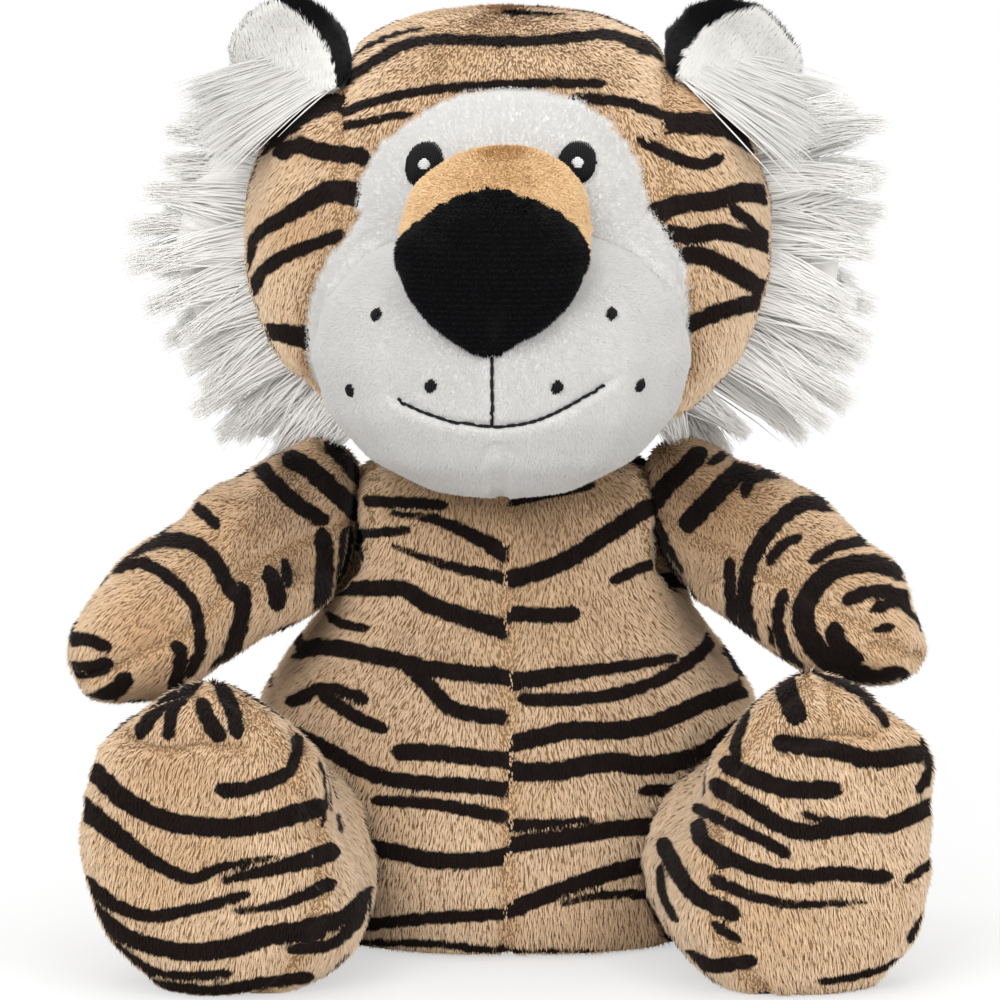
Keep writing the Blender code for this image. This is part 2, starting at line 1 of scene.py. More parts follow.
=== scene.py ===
"""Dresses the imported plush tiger: stuffed covers, striped pile, mane, stitched face and stage.

Left and right are as seen from the front. A length is in metres, unless its name ends
in mm. Seams, stripes and stitches of the front are given on the front plane: millimetres
across and up from the toy's middle, as the camera sees them.
"""

import json
import math
from typing import NamedTuple

import bmesh
import bpy
import numpy as np
from bpy.props import FloatProperty, FloatVectorProperty, IntProperty, PointerProperty
from mathutils import Matrix, Vector
from mathutils.bvhtree import BVHTree


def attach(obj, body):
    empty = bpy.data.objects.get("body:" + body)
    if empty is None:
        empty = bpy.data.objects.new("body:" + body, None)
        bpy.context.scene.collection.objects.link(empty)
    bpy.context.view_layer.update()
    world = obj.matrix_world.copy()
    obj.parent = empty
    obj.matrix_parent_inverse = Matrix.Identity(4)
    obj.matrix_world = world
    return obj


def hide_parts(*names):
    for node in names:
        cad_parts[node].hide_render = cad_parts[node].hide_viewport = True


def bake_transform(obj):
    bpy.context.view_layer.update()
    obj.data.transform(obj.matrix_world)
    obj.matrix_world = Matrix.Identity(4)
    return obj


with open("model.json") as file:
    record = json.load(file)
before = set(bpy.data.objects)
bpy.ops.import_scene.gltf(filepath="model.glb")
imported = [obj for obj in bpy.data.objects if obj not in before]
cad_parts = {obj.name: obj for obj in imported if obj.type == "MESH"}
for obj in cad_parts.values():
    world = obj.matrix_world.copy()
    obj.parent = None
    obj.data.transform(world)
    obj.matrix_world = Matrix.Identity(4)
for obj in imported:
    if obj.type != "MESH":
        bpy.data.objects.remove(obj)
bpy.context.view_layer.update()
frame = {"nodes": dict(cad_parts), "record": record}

bl_info = {
    "name": "Plush tiger",
    "version": (1, 0, 0),
    "blender": (4, 5, 0),
    "location": "3D View > Sidebar > Tiger",
    "description": "Dresses a plush tiger with stuffed covers, pile, mane and a stitched face",
    "category": "Object",
}

sides = ((-1, "left"), (1, "right"))
millimetre = 0.001
merge_distance = 0.00001
tiny = 1e-9

# The room that a point has where there is nothing near it
no_limit = 1.0

# The camera, which also gives the front plane
camera_target = np.array((-0.0016, 0.0, 0.087))
camera_distance = 1.0
camera_rise = math.radians(7)
camera_lens = 180
sight = np.array((0.0, math.cos(camera_rise), -math.sin(camera_rise)))
sight_up = np.array((0.0, math.sin(camera_rise), math.cos(camera_rise)))
camera_place = camera_target - sight * camera_distance

# Where the solids of the frame have their joints and seams
head_turn = math.radians(-2.1)
head_centre = np.array((0.0, 0.0, 0.14))
crown_seam = 0.031
side_seam_set_back = 0.003
arm_reach = (0.0435, 0.037, 0.0245)
leg_turns = {"left": math.radians(22), "right": math.radians(25)}
leg_length = 0.0575
sole_seam_share = 0.86
tail_curl_radius = 0.03

# Stripes of the front, each as width at its start and end and the points it runs through
stripe_strokes_mm = {
    "torso_left": (
        (2, 2, (-29.4, 0.2), (-12, -0.8)),
        (0.8, 3.2, (-24, -2.4), (-14.8, -3.6), (-5.8, -7.4), (-0.8, -10.4), (1.9, -12)),
        (1.6, 1.6, (-34.2, -6.8), (-31, -6.6), (-19.2, -5.8)),
        (0.8, 2.4, (-23.4, -8.8), (-16, -11.6), (-8.4, -13.8), (-0.8, -15.2), (2.3, -15.8)),
        (2.4, 3.4, (-36.6, -17.4), (-33.4, -17.4), (-25.6, -17.4), (-20.6, -17.6), (-16, -20.6),
         (-9.8, -22.8), (-0.8, -25.6), (2.3, -26.6)),
        (1.6, 1.6, (-36.4, -22.2), (-33.4, -24.4), (-27.8, -25.6)),
        (2.8, 2.8, (-44.8, -30.1), (-41.6, -29.8), (-35.2, -29.2), (-22.4, -31.8),
         (-14.8, -33.6), (0.2, -35.2), (3.4, -35.5)),
        (2.6, 2.6, (-21.6, -32.4), (-18.6, -34.2), (-15.4, -37.4), (-11.6, -41.2),
         (-5.8, -42.8), (0.2, -43.2), (3.4, -43.4)),
        (2.2, 2.2, (-44.6, -40.5), (-41.6, -39.4), (-36.4, -37.4), (-27.8, -40)),
        (2.2, 2.2, (-37.8, -38.4), (-30.2, -43.2), (-24, -45.8)),
        (2.6, 2.6, (-44.5, -45.6), (-41.6, -47), (-35.2, -50.2), (-27.6, -54.4), (-19.2, -56.2),
         (-6.6, -57), (0.8, -57.8), (4, -58.1)),
        (2.8, 2.8, (-23.4, -50.2), (-16, -50.2), (-6.6, -51.2), (0.8, -51.8), (4, -52.1)),
        (1.8, 2.4, (-27.6, -59.8), (-16, -60.4), (-6.6, -62), (1.2, -63.6), (4.3, -64.2)),
        (2.8, 2.8, (-35.7, -67.3), (-32.6, -68), (-22.4, -70.2), (-14.8, -71.8),
         (-6.6, -71.8), (1.2, -70.6), (4.4, -70.1)),
        (2, 2, (-33.8, -85.3), (-30.6, -85), (-16, -83.4), (1.2, -82.4), (4.4, -82.2)),
        (1.2, 1.2, (-35.8, -88.4), (-32.6, -88.4), (-16, -88.4), (-3.4, -89.8), (1.4, -88.4),
         (4.5, -87.5)),
        (1.4, 1.4, (-27, -75.2), (-26.2, -76.8)),
    ),
    "torso_right": (
        (1.6, 1.6, (-3.3, -0.9), (-0.2, -0.2), (9.4, 1.8), (17.8, 3.4)),
        (3, 3, (-3.3, -16.7), (-0.2, -15.8), (6.8, -13.8), (13.2, -11),
         (19.6, -6.8), (27.2, -1.8), (29.9, 0)),
        (1.8, 1.8, (20.2, -16.4), (25.4, -13.8), (30.4, -12.2), (33.4, -11.2)),
        (2.6, 2.6, (-3.6, -22.3), (-0.4, -22.4), (8.2, -22.8), (14.6, -22.4)),
        (3.2, 1.4, (-3, -36.7), (0.2, -36.2), (9.4, -34.8), (19, -33.6), (26, -32.6), (34.6, -31)),
        (2.2, 2.2, (1.8, -39.6), (12.6, -39.6), (22.2, -38.4), (30.4, -35.6),
         (38.4, -30.4), (41.4, -26), (43.2, -23.4)),
        (3, 3, (-2.3, -49.4), (0.8, -48.6), (6.8, -47), (12.6, -45.8), (22.2, -45.8),
         (29.8, -44.2), (38.4, -40.6), (46.4, -37.6), (49.4, -36.5)),
        (3.2, 3.2, (-2.4, -54), (0.8, -54), (9.4, -54), (19.6, -52.2), (28.6, -52.8),
         (38.4, -50.8), (45.4, -46), (48, -44.2)),
        (2, 2, (26, -57.8), (38.4, -57.8), (41.6, -57.8)),
        (2.4, 1.2, (-1.8, -64.9), (1.4, -64.8), (9.4, -64.6), (17.4, -63.6)),
        (2.8, 2.8, (-2, -69), (1.2, -68.6), (12.6, -67), (22.2, -65.4), (33.4, -64.8), (36.6, -64.6)),
        (2.8, 2.8, (-1.8, -82.6), (1.2, -81.4), (9.4, -78.2), (19, -74.8), (32.4, -71.2), (35.5, -70.4)),
        (1, 2, (10.4, -80.6), (19, -78.8), (32.4, -78.6), (35.6, -78.6)),
        (0.8, 0.8, (-0.8, -90), (2.4, -90), (19.6, -90)),
    ),
    "crown": (
        (0.8, 0.8, (-31.4, 89), (-26.6, 91.8), (-21.4, 93.8), (-16.8, 94.6)),
        (1.8, 1.8, (-36.1, 81.8), (-33.4, 83.6), (-28, 87.2), (-21.4, 91), (-14.2, 92.4), (-1.6, 92),
         (8.6, 92.4), (18.8, 93.4), (24, 92.4), (30.4, 90.2), (33.4, 89.2)),
        (1.6, 1.6, (-35.8, 76.7), (-32.8, 77.8), (-28, 79.6), (-20.4, 81.6), (-12.8, 82.6),
         (-1.6, 83.4), (8.6, 83.6), (19.8, 83.6)),
        (1.6, 1.2, (-35.5, 74.3), (-32.4, 75), (-27.6, 76), (-23, 77), (-18.8, 77.6)),
        (1.8, 1.8, (12.2, 80.6), (18.8, 80.4), (24, 79.6), (30, 77.6), (33, 76.6)),
        (1, 1, (-1.6, 97.8), (13.8, 98), (19.8, 97.8), (24, 96.4), (30.4, 93.6), (33.3, 92.3)),
        (1, 1, (23.4, 91.4), (30, 89), (33, 87.9)),
    ),
    "cheek_left": (
        (1, 3.6, (-51.7, 68), (-49.2, 70), (-43.8, 74.4), (-39.8, 77.6),
         (-35.6, 79.6), (-33, 79.6), (-29.8, 79.6)),
        (2.8, 2.8, (-47, 69.2), (-41.8, 71.2), (-37.8, 70), (-30.6, 69.2), (-27.4, 68.8)),
        (1.2, 1.2, (-30, 67.4), (-27.6, 68.4)),
        (1.2, 4.4, (-52.7, 45.3), (-51.8, 48.4), (-50.4, 53), (-45.8, 56.2), (-40.8, 59.2),
         (-35.6, 62), (-29.6, 61.2), (-26.4, 60.8)),
        (2.2, 2.2, (-51.9, 40.6), (-50.4, 43.4), (-49, 46), (-44.8, 49), (-39.8, 51), (-32.6, 53.8)),
        (1.6, 4.8, (-52, 34.7), (-48.8, 34.2), (-44.8, 33.6), (-39.2, 32.6), (-36, 32)),
    ),
    "cheek_right": (
        (1, 1, (33, 84.2), (37.2, 84.6), (41.8, 83.6)),
        (3.6, 3.6, (26.2, 75.6), (29.4, 75.6), (36.6, 75.6), (43.2, 75), (48.4, 72.2), (51.2, 70.7)),
        (2, 2, (25.7, 72.6), (28.6, 71.2), (34.2, 68.4), (39.2, 67.4), (43.2, 69.4)),
        (3.2, 3.2, (26.1, 56.9), (29.2, 57.8), (35.2, 59.6), (41.8, 60.2),
         (46.8, 61.8), (52, 61.2), (55.2, 60.8)),
        (2, 2, (44.4, 59), (48.4, 55.6), (52, 52.4), (54.4, 50.3)),
        (2.8, 2.8, (28.8, 54.3), (32, 53.8), (37.2, 53), (42.2, 54), (52, 51.4), (55.1, 50.6)),
        (3, 3, (31, 49.3), (34.2, 49.2), (39.2, 49), (44.4, 46.4), (50.8, 42.4), (53.5, 40.7)),
        (2.8, 2.8, (32.9, 33.6), (35.8, 35), (41.8, 37.8), (48.8, 39.6), (51.9, 40.4)),
        (1.6, 1.6, (34.8, 26.6), (36.4, 26.6)),
    ),
    "arm_left": (
        (2.4, 2.4, (-36.8, 11.8), (-33.4, 9), (-29.2, 4), (-27.1, 1.5)),
        (3.2, 3.2, (-45.2, 9.2), (-40.2, 6.8), (-36.2, 3.4), (-29.2, -2.8), (-26.8, -4.9)),
        (2.6, 2.6, (-53.2, 10.8), (-51, 8.4), (-46.4, 3.4), (-42, -0.6), (-35.8, -4.6)),
        (2, 2, (-66.3, 2), (-63.8, 0), (-60.4, -2.8), (-57.6, -5.4)),
        (2.6, 2.6, (-78.6, -10.9), (-75.6, -9.8), (-70, -7.8), (-63.2, -8.4),
         (-58.8, -11.8), (-56, -16.6), (-54.2, -20)),
        (2.8, 2.8, (-53.2, -16.2), (-53.2, -22.4), (-55.4, -30.4), (-57.2, -32.8), (-59.1, -35.4)),
        (2, 2, (-82.2, -13.9), (-79, -13.4), (-72.8, -12.4), (-67.2, -15.8), (-63.8, -19.2),
         (-62.2, -22.4), (-61.6, -29.8), (-64.4, -35.4)),
        (2.4, 2.4, (-67.2, -28), (-65.4, -30.8), (-66.6, -37.2), (-67.2, -40.3)),
        (2.2, 2.2, (-91.6, -27.5), (-88.4, -27.6), (-83.4, -27.8), (-79.2, -30)),
        (2.8, 2.8, (-91.2, -33.6), (-88, -33.6), (-83.4, -33.6), (-79, -32.2)),
        (3, 3, (-86, -42), (-83.2, -40.4), (-78.4, -37.6), (-75.6, -34.2)),
        (3, 3, (-37.4, -5.4), (-36.6, -11.2), (-37.2, -21), (-37.4, -24.2)),
        (2.4, 2.4, (-31.8, -5), (-32.4, -9.6), (-33, -18), (-33.2, -21.2)),
        (3, 3, (-48.4, -13), (-46.4, -17.4), (-46.2, -22)),
        (1.8, 1.8, (-44.8, -11.2), (-43.8, -17.4)),
    ),
    "arm_right": (
        (3.2, 3.2, (39.5, 10.6), (37.2, 8.4), (32, 3.4), (27.4, -2.4), (25.4, -4.9)),
        (3.4, 3.4, (50.7, 10.2), (48.4, 8), (42.8, 2.8), (37.6, -2.8), (34.4, -5.6)),
        (2, 2, (57.5, 6.9), (54.4, 6), (48.8, 4.4), (47.2, 0.6)),
        (1.6, 1.6, (40, 7.2), (43.8, 10), (46.4, 11.9)),
        (2.6, 2.6, (68.8, -0.6), (65.6, -0.6), (59, -0.6), (53.4, -4.6), (49.4, -10.2),
         (47.8, -15.2), (47.2, -20.8), (48.8, -28), (49.5, -31.1)),
        (1.8, 1.8, (59, -6.8), (54.6, -9), (51.8, -13)),
        (2, 1.8, (75.9, -7), (72.8, -7.6), (65.8, -9), (60.2, -12.4)),
        (2.8, 4.4, (82.2, -15.4), (79.2, -14.4), (73, -12.4), (65.8, -13.4), (61.2, -17.4),
         (59, -22.4), (60.6, -28), (65.8, -33), (72.4, -35.8), (77.4, -35.6), (80.6, -35.5)),
        (2, 2, (44.4, -11), (44.4, -17.4), (45, -24.4), (45.3, -27.6)),
        (2, 2, (55.6, -17.4), (54, -22.4), (55, -28.6), (57.8, -33.2), (59.5, -35.9)),
        (1, 1, (52.2, -24.8), (53.2, -29.4)),
        (3.2, 3.2, (65.8, -24.2), (65.8, -28), (70.8, -33.2)),
        (2.4, 2.4, (66.8, -20.2), (73, -18), (80, -19.2), (83.2, -19.7)),
        (2, 2, (72.4, -22), (78, -20.2), (83.4, -24.2), (86, -26.1)),
        (1.6, 1.6, (73, -25.8), (77.6, -24.8)),
        (2.8, 2.8, (28.2, -2.8), (32, -11.2), (34.4, -16.2)),
    ),
    "leg_left": (
        (3.2, 3.2, (-84, -53), (-81.6, -55.2), (-76.6, -59.8), (-70, -63.2), (-63.6, -64.8),
         (-55, -65.2), (-48.4, -64.2), (-39.2, -61.6), (-36.1, -60.7)),
        (3.6, 1, (-87.1, -59.6), (-84.6, -61.6), (-78.8, -66.2), (-72.2, -71.4), (-67, -74.2),
         (-62.8, -75.4), (-58.4, -73.6), (-52.8, -72.4), (-45.8, -71)),
        (3.6, 1.2, (-33.7, -69.7), (-36.8, -70.6), (-44, -72.8), (-50.6, -74.4), (-57.6, -76.2)),
        (2.6, 1.6, (-86.2, -75.1), (-83.6, -77), (-78.8, -80.6), (-72.2, -83),
         (-65.8, -82.2), (-59.2, -80.6), (-51.4, -78.4)),
        (2.6, 0.8, (-34.3, -75.9), (-37.2, -77.2), (-44, -80.2), (-50.6, -81.6), (-55.4, -82)),
        (2.6, 3.6, (-84.7, -80.6), (-82.2, -82.6), (-76.6, -87), (-70, -89.2), (-63.6, -90.2),
         (-55.8, -89.4), (-50.6, -87.6), (-46.2, -86.6), (-39.2, -86), (-36, -85.7)),
        (1.6, 1.6, (-81.8, -86.5), (-79.2, -88.4), (-72.2, -93.6), (-65.8, -95), (-55, -94.4)),
        (2, 2, (-72.8, -96.7), (-69.6, -97), (-59.2, -98), (-50.6, -96.6), (-41.6, -95.4), (-38.4, -95)),
        (2.4, 2.4, (-58.8, -57.6), (-52.8, -57.6), (-45.4, -55), (-43.6, -53.6)),
        (2, 2, (-42, -46), (-42.4, -50.6), (-44, -55.4)),
        (2.4, 2.4, (-66.4, -37.1), (-68.4, -39.6), (-72.2, -44.2), (-74, -47.6)),
        (2.2, 2.2, (-61.2, -34.3), (-63.2, -36.8), (-67, -41.6), (-68, -48)),
        (2.8, 2.8, (-61.8, -39.4), (-59.6, -44.2), (-57, -48)),
        (2.6, 2.6, (-58.7, -33.9), (-57.4, -36.8), (-55, -42), (-54, -47.6)),
        (3, 3, (-42.5, -85.7), (-39.4, -85), (-33.2, -83.6), (-28.4, -79.6), (-25.9, -77.6)),
        (2, 2, (-44.2, -89.9), (-41, -89.4), (-35, -88.4), (-28.8, -82.6), (-26.5, -80.4)),
        (0.8, 0.8, (-38, -50.6), (-36.2, -58), (-37.2, -65.4)),
        (0.8, 0.8, (-34, -62.4), (-33.2, -66.6)),
    ),
    "leg_right": (
        (3, 3, (52.8, -48), (59.2, -49), (65.8, -49.8), (72.2, -51.6), (81.2, -50.6), (84.4, -50.2)),
        (3, 3, (42.1, -51.9), (45, -53.2), (50.6, -55.8), (57, -57.6), (67, -57.6)),
        (2.8, 2.8, (40.1, -55.9), (42.8, -57.6), (48.4, -61), (55, -65), (60.2, -66.2), (65.8, -65.4),
         (70, -64.6), (76.6, -64.6), (84.6, -61), (87.5, -59.7)),
        (1, 2.4, (58, -62.2), (63.6, -64), (70, -65.4)),
        (2, 2, (36.7, -60.8), (39.6, -62.2), (46.2, -65.4), (52.8, -68.8), (56.6, -71)),
        (2.4, 2.4, (39.6, -68.5), (42.4, -70), (48.4, -73.2), (57, -75),
         (65.8, -74.4), (72.2, -75), (77, -75.2)),
        (2.2, 0.8, (39.9, -75.1), (42.8, -76.4), (48.4, -78.8), (57, -80.6), (65.8, -80.4), (72.2, -80.2)),
        (1.4, 1.4, (79.2, -76.2), (84, -72.8), (86.6, -71)),
        (1.2, 1.2, (61.8, -96.2), (68, -95.4), (74.4, -93.6), (78, -92), (80.9, -90.7)),
        (1.8, 1.8, (80, -88.2), (83.2, -83.6), (85, -81)),
        (1.8, 1.8, (81.8, -58.6), (84.4, -53.6), (83.6, -48.8), (83.1, -45.6)),
        (3.6, 3.6, (54.3, -32.9), (55.2, -36), (56.6, -40.6), (58.8, -44.6)),
        (1.6, 1.6, (60.6, -33.1), (63.4, -34.6), (69.2, -37.6), (73.2, -41), (76.2, -45.4)),
        (1.8, 1.8, (47.9, -40.9), (47, -44), (45.4, -49.4), (46.2, -52.4)),
        (2.8, 2.8, (30.4, -67.2), (33.6, -73.6), (37.6, -78.8), (43.6, -81.8), (46.5, -83.2)),
        (2.8, 2.8, (37.8, -63.4), (38.8, -67.6), (42.4, -71), (44.7, -73.2)),
        (1.4, 1.4, (30.4, -72.4), (31, -78.8), (34, -84.4)),
        (1.6, 1.6, (40.6, -84.2), (44, -86.4), (46.7, -88.1)),
        (2.4, 2.4, (35, -90.2), (40.6, -92.8), (46.6, -92.2), (49.8, -91.9)),
    ),
}

# The white face and the boundary of each ear's black back, on the front plane
face_outline_mm = (
    (-1.6, 82.4), (-9.2, 81.2), (-16.2, 78), (-21.4, 74.4), (-25.4, 71.4), (-27.6, 67.4),
    (-29.6, 64.2), (-30, 59.2), (-29.8, 56.2), (-32.6, 52.6), (-36.2, 48.4), (-38.2, 43.8),
    (-39.6, 39.8), (-40.2, 34.6), (-40, 28.6), (-39, 23.4), (-15, 0), (10, 0), (35.4, 26),
    (36.2, 31.2), (36.2, 38.8), (35.6, 46), (34.2, 50.2), (31, 54.6), (28.2, 57.2),
    (27.8, 61.2), (26.2, 66.8), (24, 71.4), (19.8, 76), (13.8, 80.2), (5, 82.2),
)
ear_edges_mm = {
    "left": ((-46.6, 99.4), (-41.2, 96), (-37.8, 92.2), (-35.2, 87.2), (-34.2, 82.6)),
    "right": ((33.6, 85.2), (34.2, 89.2), (38.2, 93.4), (43.2, 96.4), (49.4, 98)),
}

# Seams and stitched folds of the front: depth, half width, then the points
creases_mm = {
    "head": (
        (0.35, 0.9, (-29.6, 58.2), (-24, 60.4), (-20.2, 61.6)),
        (0.35, 0.9, (16.6, 61.6), (22, 59.4), (28.6, 56.2)),
    ),
    "muzzle": (
        (0.9, 0.8, (-3.2, 28.2), (-3.1, 14.8)),
        (0.8, 0.8, (-23.2, 20.8), (-18.6, 18.2), (-12.2, 16), (-3.2, 14.8), (4, 15.4),
         (9.2, 17.2), (14.6, 20.2), (20.6, 23.8)),
        (0.2, 0.9, (-2.2, 14.4), (-2, 8), (-3, 0.4), (-3, -6)),
    ),
    "nose": ((0.5, 0.7, (-2, 38), (-3.2, 29.4), (-3.4, 26)),),
    "arm_left": (
        (1.1, 1.3, (-26, -2), (-30.6, -3.4), (-39.2, -7.4), (-47, -10.6), (-54.2, -15.8),
         (-62.2, -24.8), (-76.2, -32), (-79.6, -33.2)),
        (1, 1.6, (-30, 9), (-30.2, 2.8), (-30.6, -4), (-31.2, -9.6), (-33.4, -17.4)),
        (2.2, 1.2, (-76, -32.4), (-82, -34.6), (-88.5, -36)),
    ),
    "arm_right": (
        (1.1, 1.3, (32, -3), (37.2, -6.8), (46.6, -10.6), (51.8, -15.2), (57.4, -17.4),
         (65.2, -22.8), (74.2, -26.4), (80.8, -30.8), (83, -31)),
        (1, 1.6, (28, 12), (26.8, 4), (27.6, -2.8), (29.8, -10.6), (34.8, -17.4)),
        (2.2, 1.2, (72.4, -28.4), (79.4, -30), (85, -31.6)),
    ),
    "leg_left": (
        (1.5, 1.2, (-43.2, -45), (-42, -48.4), (-43.6, -55.8), (-39.8, -60.2), (-38, -65.8),
         (-37.6, -73.2), (-38, -78.8), (-39.8, -85.4), (-42.8, -92.8)),
        (2, 1.4, (-61.8, -34), (-61.8, -36.4), (-61.4, -48.4)),
        (2.4, 1.3, (-75.6, -46.6), (-74.4, -47.6), (-68, -49.4), (-61.4, -48.4), (-52.8, -49)),
    ),
    "leg_right": (
        (1.5, 1.2, (45.8, -52.8), (42.8, -58), (42.4, -70.2), (43.2, -77.6), (44, -86.2),
         (47.6, -92.8), (51.8, -98)),
        (2.4, 1.3, (54, -47), (59.2, -48), (65.8, -46.4), (73, -46.6)),
        (1.6, 1.5, (62.8, -33), (64.8, -42.4), (65.8, -45)),
    ),
}

# What the front shows of a form, on the front plane: its middle, then its outline
outlines_mm = {
    "nose": (
        (-2.8, 47),
        (-21.8, 52), (-22.2, 48.4), (-21.6, 46), (-20.2, 42), (-18.6, 39.2), (-16, 36), (-12.8, 33.4),
        (-9.4, 31), (-6, 29.2), (-3.6, 28.6), (-1.4, 29.8), (2, 31.8), (6, 33.8), (9.4, 36.4),
        (12, 39.6), (14.4, 43.6), (15.6, 47.6), (16, 50.4), (14.4, 53), (12.4, 55.6), (9.4, 58),
        (6.4, 59.6), (2.4, 60.8), (-1.6, 62.2), (-5.6, 62), (-9.6, 60.8), (-13.6, 59),
        (-16.8, 56.6), (-19.6, 54.4),
    ),
    "bridge": (
        (-2, 57),
        (-21.6, 51), (-21.4, 53), (-20.8, 57), (-19.2, 61), (-17.2, 64), (-13.6, 66.8), (-9.6, 69),
        (-5.6, 70.2), (-0.6, 70.6), (4.4, 70.2), (8, 68.8), (11.4, 66.6), (13.8, 64), (15.4, 61),
        (16, 57), (16.4, 52), (15.4, 46), (10.4, 42), (-1.6, 40), (-13.6, 42), (-19.6, 46),
    ),
    "ear_left": (
        (-43.2, 91),
        (-31.4, 88), (-32.4, 91.6), (-34.6, 95), (-37.6, 98), (-41.6, 100.2), (-44.6, 100.2),
        (-47.2, 99), (-51.6, 96.4), (-53.6, 93.8), (-55, 91), (-55, 87.6), (-54, 84), (-50, 80.8),
        (-43.6, 79.6), (-37.6, 81), (-33.4, 82.8), (-31.6, 85.6),
    ),
    "ear_right": (
        (44, 91),
        (29.8, 91), (30.4, 93.6), (32.8, 95.6), (36, 98), (39.4, 99), (42.8, 99.8), (47.4, 98.6),
        (49.8, 98), (52.8, 95.6), (55.2, 92.8), (57.4, 90), (58.2, 87.6), (57.8, 84), (55.4, 80.8),
        (50, 79.2), (44.4, 80), (38.4, 82.4), (33.2, 84.4), (32, 86.8), (30.4, 88.4),
    ),
    "arm_left": (
        (-58.6, -14.4),
        (-41.6, 12.4), (-45.6, 10), (-49.2, 7.6), (-52.6, 5.2), (-55.6, 3.4), (-58.6, 2),
        (-61.6, 0), (-64.6, -4), (-68.6, -6.6), (-72.6, -8.6), (-76.6, -11.6), (-80.6, -16),
        (-84, -21), (-86.6, -25), (-87.6, -29), (-87.2, -32.4), (-85.8, -36), (-84.4, -38.4),
        (-81.6, -39.8), (-75.6, -40.2), (-69.6, -39.6), (-64.6, -38), (-60.6, -35), (-57.2, -32.4),
        (-53.6, -30), (-49.6, -27.2), (-44.6, -25.2), (-40.6, -23.2), (-37.2, -20.8), (-33, -16.4),
        (-31.2, -10), (-30.2, -4), (-29.6, 2), (-30, 7), (-32.6, 10), (-36.6, 12),
    ),
    "arm_right": (
        (56.4, -14),
        (36.8, 12.4), (42.4, 10), (47.4, 7.6), (52.4, 5.4), (57.4, 2.8), (62.4, 0), (67.4, -5),
        (71.4, -8.6), (76.4, -12), (79, -15), (80.4, -20), (82, -25), (83.4, -29), (83.2, -31),
        (82, -32.8), (80.4, -34.4), (77.4, -36), (72.4, -36.8), (66.4, -36), (61.4, -34.6),
        (58.4, -33.6), (54.4, -31), (50.4, -28), (46.4, -25), (42.4, -22.2), (39.4, -20.4),
        (36.4, -18), (32, -12.4), (29.8, -8), (28.4, -4), (27.6, 1), (27.6, 6), (29.4, 10),
        (32.8, 12),
    ),
    "leg_left": (
        (-58.6, -69),
        (-62.6, -36.4), (-69.6, -40), (-76.6, -45), (-81.6, -50), (-84, -58), (-85, -68),
        (-84.4, -74), (-82.6, -80), (-81.2, -84), (-77.6, -89.6), (-71.6, -95), (-66.6, -98.6),
        (-60.6, -99.6), (-53.6, -99.4), (-46.6, -98.6), (-41.6, -97), (-35.6, -93.6), (-31.6, -90),
        (-28.6, -85), (-27.2, -80), (-28, -74), (-29.6, -69), (-32.6, -63), (-36.6, -54),
        (-38, -51), (-41.6, -47), (-45.6, -43.6), (-50.6, -40), (-55.6, -37.6), (-59.6, -36.6),
    ),
    "leg_right": (
        (60.4, -69),
        (60.4, -34.4), (56.4, -36), (52.4, -38.4), (49.4, -41), (47.4, -43), (44.4, -47),
        (40.8, -52), (38.4, -58), (35.4, -63), (31.4, -67.6), (30, -74), (29.8, -80), (31.4, -85),
        (34.4, -89), (38.4, -93), (43.4, -97), (50.4, -99.6), (58.4, -99.6), (66.4, -98.6),
        (72.4, -97), (77.4, -92), (81.4, -87), (82.8, -81), (84, -76), (84, -70), (84.4, -60),
        (84.8, -54), (83.4, -49), (79.4, -45), (74.4, -41), (70.4, -38), (65.4, -35.4),
    ),
}

# Where the pile is of a richer, darker colour, partly its own colour and partly painted shade in folds and
# under the head and other parts: across, up, reach and strength
warm_and_shaded_spots_mm = {
    "torso": (
        (-10, 7, 9, 0.9), (9, 5, 9, 0.5), (0, -2, 24, 0.45), (28, -20, 8, 0.3), (-30, -52, 9, 0.35),
        (20, -88, 12, 0.4),
    ),
    "arm_left": (
        (-52, -14, 30, 0.4), (-71.6, -27, 11, 1), (-41, -12, 9, 0.6), (-54, -6, 10, 0.5),
        (-84, -33, 5, 0.5),
    ),
    "arm_right": (
        (55, -14, 30, 0.4), (42, -1, 13, 0.9), (72, -31, 9, 0.6), (39, -14, 8, 0.5), (60, -6, 8, 0.4),
    ),
    "leg_left": ((-67, -53, 9, 0.7), (-71, -76, 9, 0.5), (-61, -69, 8, 0.4), (-42, -50, 6, 0.5)),
    "leg_right": ((44, -47, 6, 0.7), (52, -84, 9, 0.5), (66, -44, 6, 0.5), (40, -70, 5, 0.6)),
    "head": ((-13, 90, 8, 0.5), (-42, 54, 7, 0.9), (-41, 71, 6, 0.6), (38, 80, 8, 1), (38, 61, 6, 0.6)),
}

# Stitching of the face, on the front plane
eyes_mm = {"left": (-16.7, 67.1, 3.6, 4.5), "right": (13.8, 67.4, 3.7, 4.3)}
dots_mm = {
    "left": ((-26.2, 37), (-31.4, 22), (-15.4, 22.8)),
    "right": ((20.6, 37.2), (26.2, 23), (9.8, 22.6)),
}
mouth_mm = ((-22, 20.2), (-18.6, 18.2), (-12.2, 16), (-3.2, 14.8), (4, 15.4),
            (9.2, 17.2), (14.6, 20.2), (19.4, 23.1))
mouth_line_mm = ((-3.4, 28.8), (-3.4, 22), (-3.2, 14.8))


def length_setting(name, meaning, length):
    return FloatProperty(name=name, description=meaning, default=length, unit="LENGTH")


def colour_setting(name, meaning, colour):
    return FloatVectorProperty(name=name, description=meaning, default=colour, subtype="COLOR")


